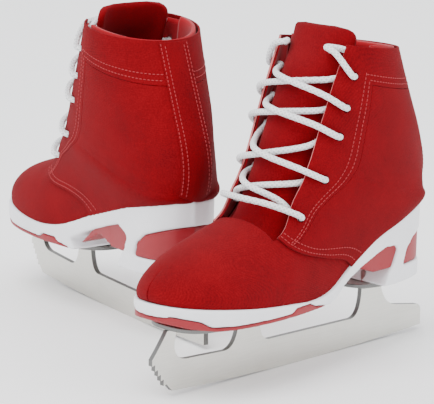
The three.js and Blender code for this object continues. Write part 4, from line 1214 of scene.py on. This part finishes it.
def centripetal(points, per_segment):
    """A centripetal Catmull-Rom curve through the points."""
    ends = [2 * points[0] - points[1], *points, 2 * points[-1] - points[-2]]
    line = []
    for i in range(len(points) - 1):
        p = ends[i:i + 4]
        chords = [max(np.linalg.norm(p[k + 1] - p[k]), 1e-6) ** 0.5 for k in range(3)]
        knots = np.concatenate([[0], np.cumsum(chords)])
        for t in np.linspace(knots[1], knots[2], per_segment, endpoint=False):
            a = [(knots[k + 1] - t) / (knots[k + 1] - knots[k]) * p[k]
                 + (t - knots[k]) / (knots[k + 1] - knots[k]) * p[k + 1] for k in range(3)]
            b = [(knots[k + 2] - t) / (knots[k + 2] - knots[k]) * a[k]
                 + (t - knots[k]) / (knots[k + 2] - knots[k]) * a[k + 1] for k in range(2)]
            line.append((knots[2] - t) / (knots[2] - knots[1]) * b[0]
                        + (t - knots[1]) / (knots[2] - knots[1]) * b[1])
    return np.array([*line, points[-1]])


def lace(skate):
    dense = centripetal(lace_route(), 24)
    run = np.concatenate([[0], np.linalg.norm(np.diff(dense, axis=0), axis=-1).cumsum()])
    at = np.arange(0, run[-1], LACE_STEP)
    line = np.stack([np.interp(at, run, dense[:, k]) for k in range(3)], -1)
    tangent = np.gradient(line, axis=0)
    tangent /= np.linalg.norm(tangent, axis=-1, keepdims=True)
    turn = np.linspace(0, TURN, LACE_SIDES, endpoint=False)
    normal = np.cross(tangent[0], [0, 0, 1.0])
    rings, uv = [], []
    for k, (p, t) in enumerate(zip(line, tangent)):
        normal = normal - t * normal.dot(t)
        normal /= np.linalg.norm(normal)
        other = np.cross(t, normal)
        phase = at[k] * TURN / (2 * BRAID_REPEAT)
        strands = turn * BRAID_STRANDS
        weave = np.maximum(np.sin(phase + strands), np.sin(phase - strands))
        radius = LACE_RADIUS * (0.95 + 0.05 * weave)
        rings.append(p + radius[:, None] * (np.cos(turn)[:, None] * normal + np.sin(turn)[:, None] * other))
        uv.append(np.stack([np.full(LACE_SIDES, at[k] * MM), turn / TURN], -1))
    print(skate.prefix, "lace", round(float(run[-1])), "mm")
    faces = ring_faces(len(line), LACE_SIDES)
    add_object("lace", skate, np.concatenate(rings), faces, [BRAID], uv=np.concatenate(uv))


for skate in SKATES:
    lace(skate)

# %% [markdown]
# ## Studio
# The camera stands off the left skate's toe with a long lens, which keeps the two boots alike in
# size. The floor is pale and plain, under broad soft light, so the shadows stay faint.

# %% Camera, floor and light
LEFT_TOE = np.array([*(SKATES[0].origin), 0.0])
camera_data = bpy.data.cameras.new("camera")
camera_data.lens = 207.7
camera_data.sensor_width = 36
camera = bpy.data.objects.new("camera", camera_data)
bpy.context.scene.collection.objects.link(camera)
camera.location = LEFT_TOE + np.array([1.0957, 1.2066, 0.4996])
target = Vector(LEFT_TOE + np.array([-0.4649, -0.4193, 0.0]))
camera.rotation_euler = (target - camera.location).to_track_quat("-Z", "Y").to_euler()
bpy.context.scene.camera = camera

floor_mesh = bpy.data.meshes.new("floor")
FLOOR_HALF = 30.0
corners = [(x * FLOOR_HALF, y * FLOOR_HALF, 0) for x, y in ((-1, -1), (1, -1), (1, 1), (-1, 1))]
floor_mesh.from_pydata(corners, [], [(0, 1, 2, 3)])
floor = bpy.data.objects.new("floor", floor_mesh)
floor_finish = Finish("floor_paint", "none", Base_Color=(0.97, 0.97, 0.97, 1), Roughness=0.9,
                      Specular_IOR_Level=0.1)
floor_mesh.materials.append(floor_finish.material)
bpy.context.scene.collection.objects.link(floor)


def area_light(name, place, power, size):
    data = bpy.data.lights.new(name, "AREA")
    data.energy = power
    data.size = size
    made = bpy.data.objects.new(name, data)
    bpy.context.scene.collection.objects.link(made)
    made.location = place
    made.rotation_euler = (-Vector(place)).to_track_quat("-Z", "Y").to_euler()


area_light("key", (1.2, 0.2, 2.2), 62, 1.8)
area_light("fill", (-0.4, 2.4, 1.4), 18, 2.4)
area_light("back", (-1.6, -1.4, 1.8), 18, 2.0)
world = bpy.data.worlds.new("studio")
bpy.context.scene.world = world
world.use_nodes = True
sky = world.node_tree.nodes["Background"]
sky.inputs["Color"].default_value = (0.97, 0.98, 1.0, 1)
sky.inputs["Strength"].default_value = 1.6
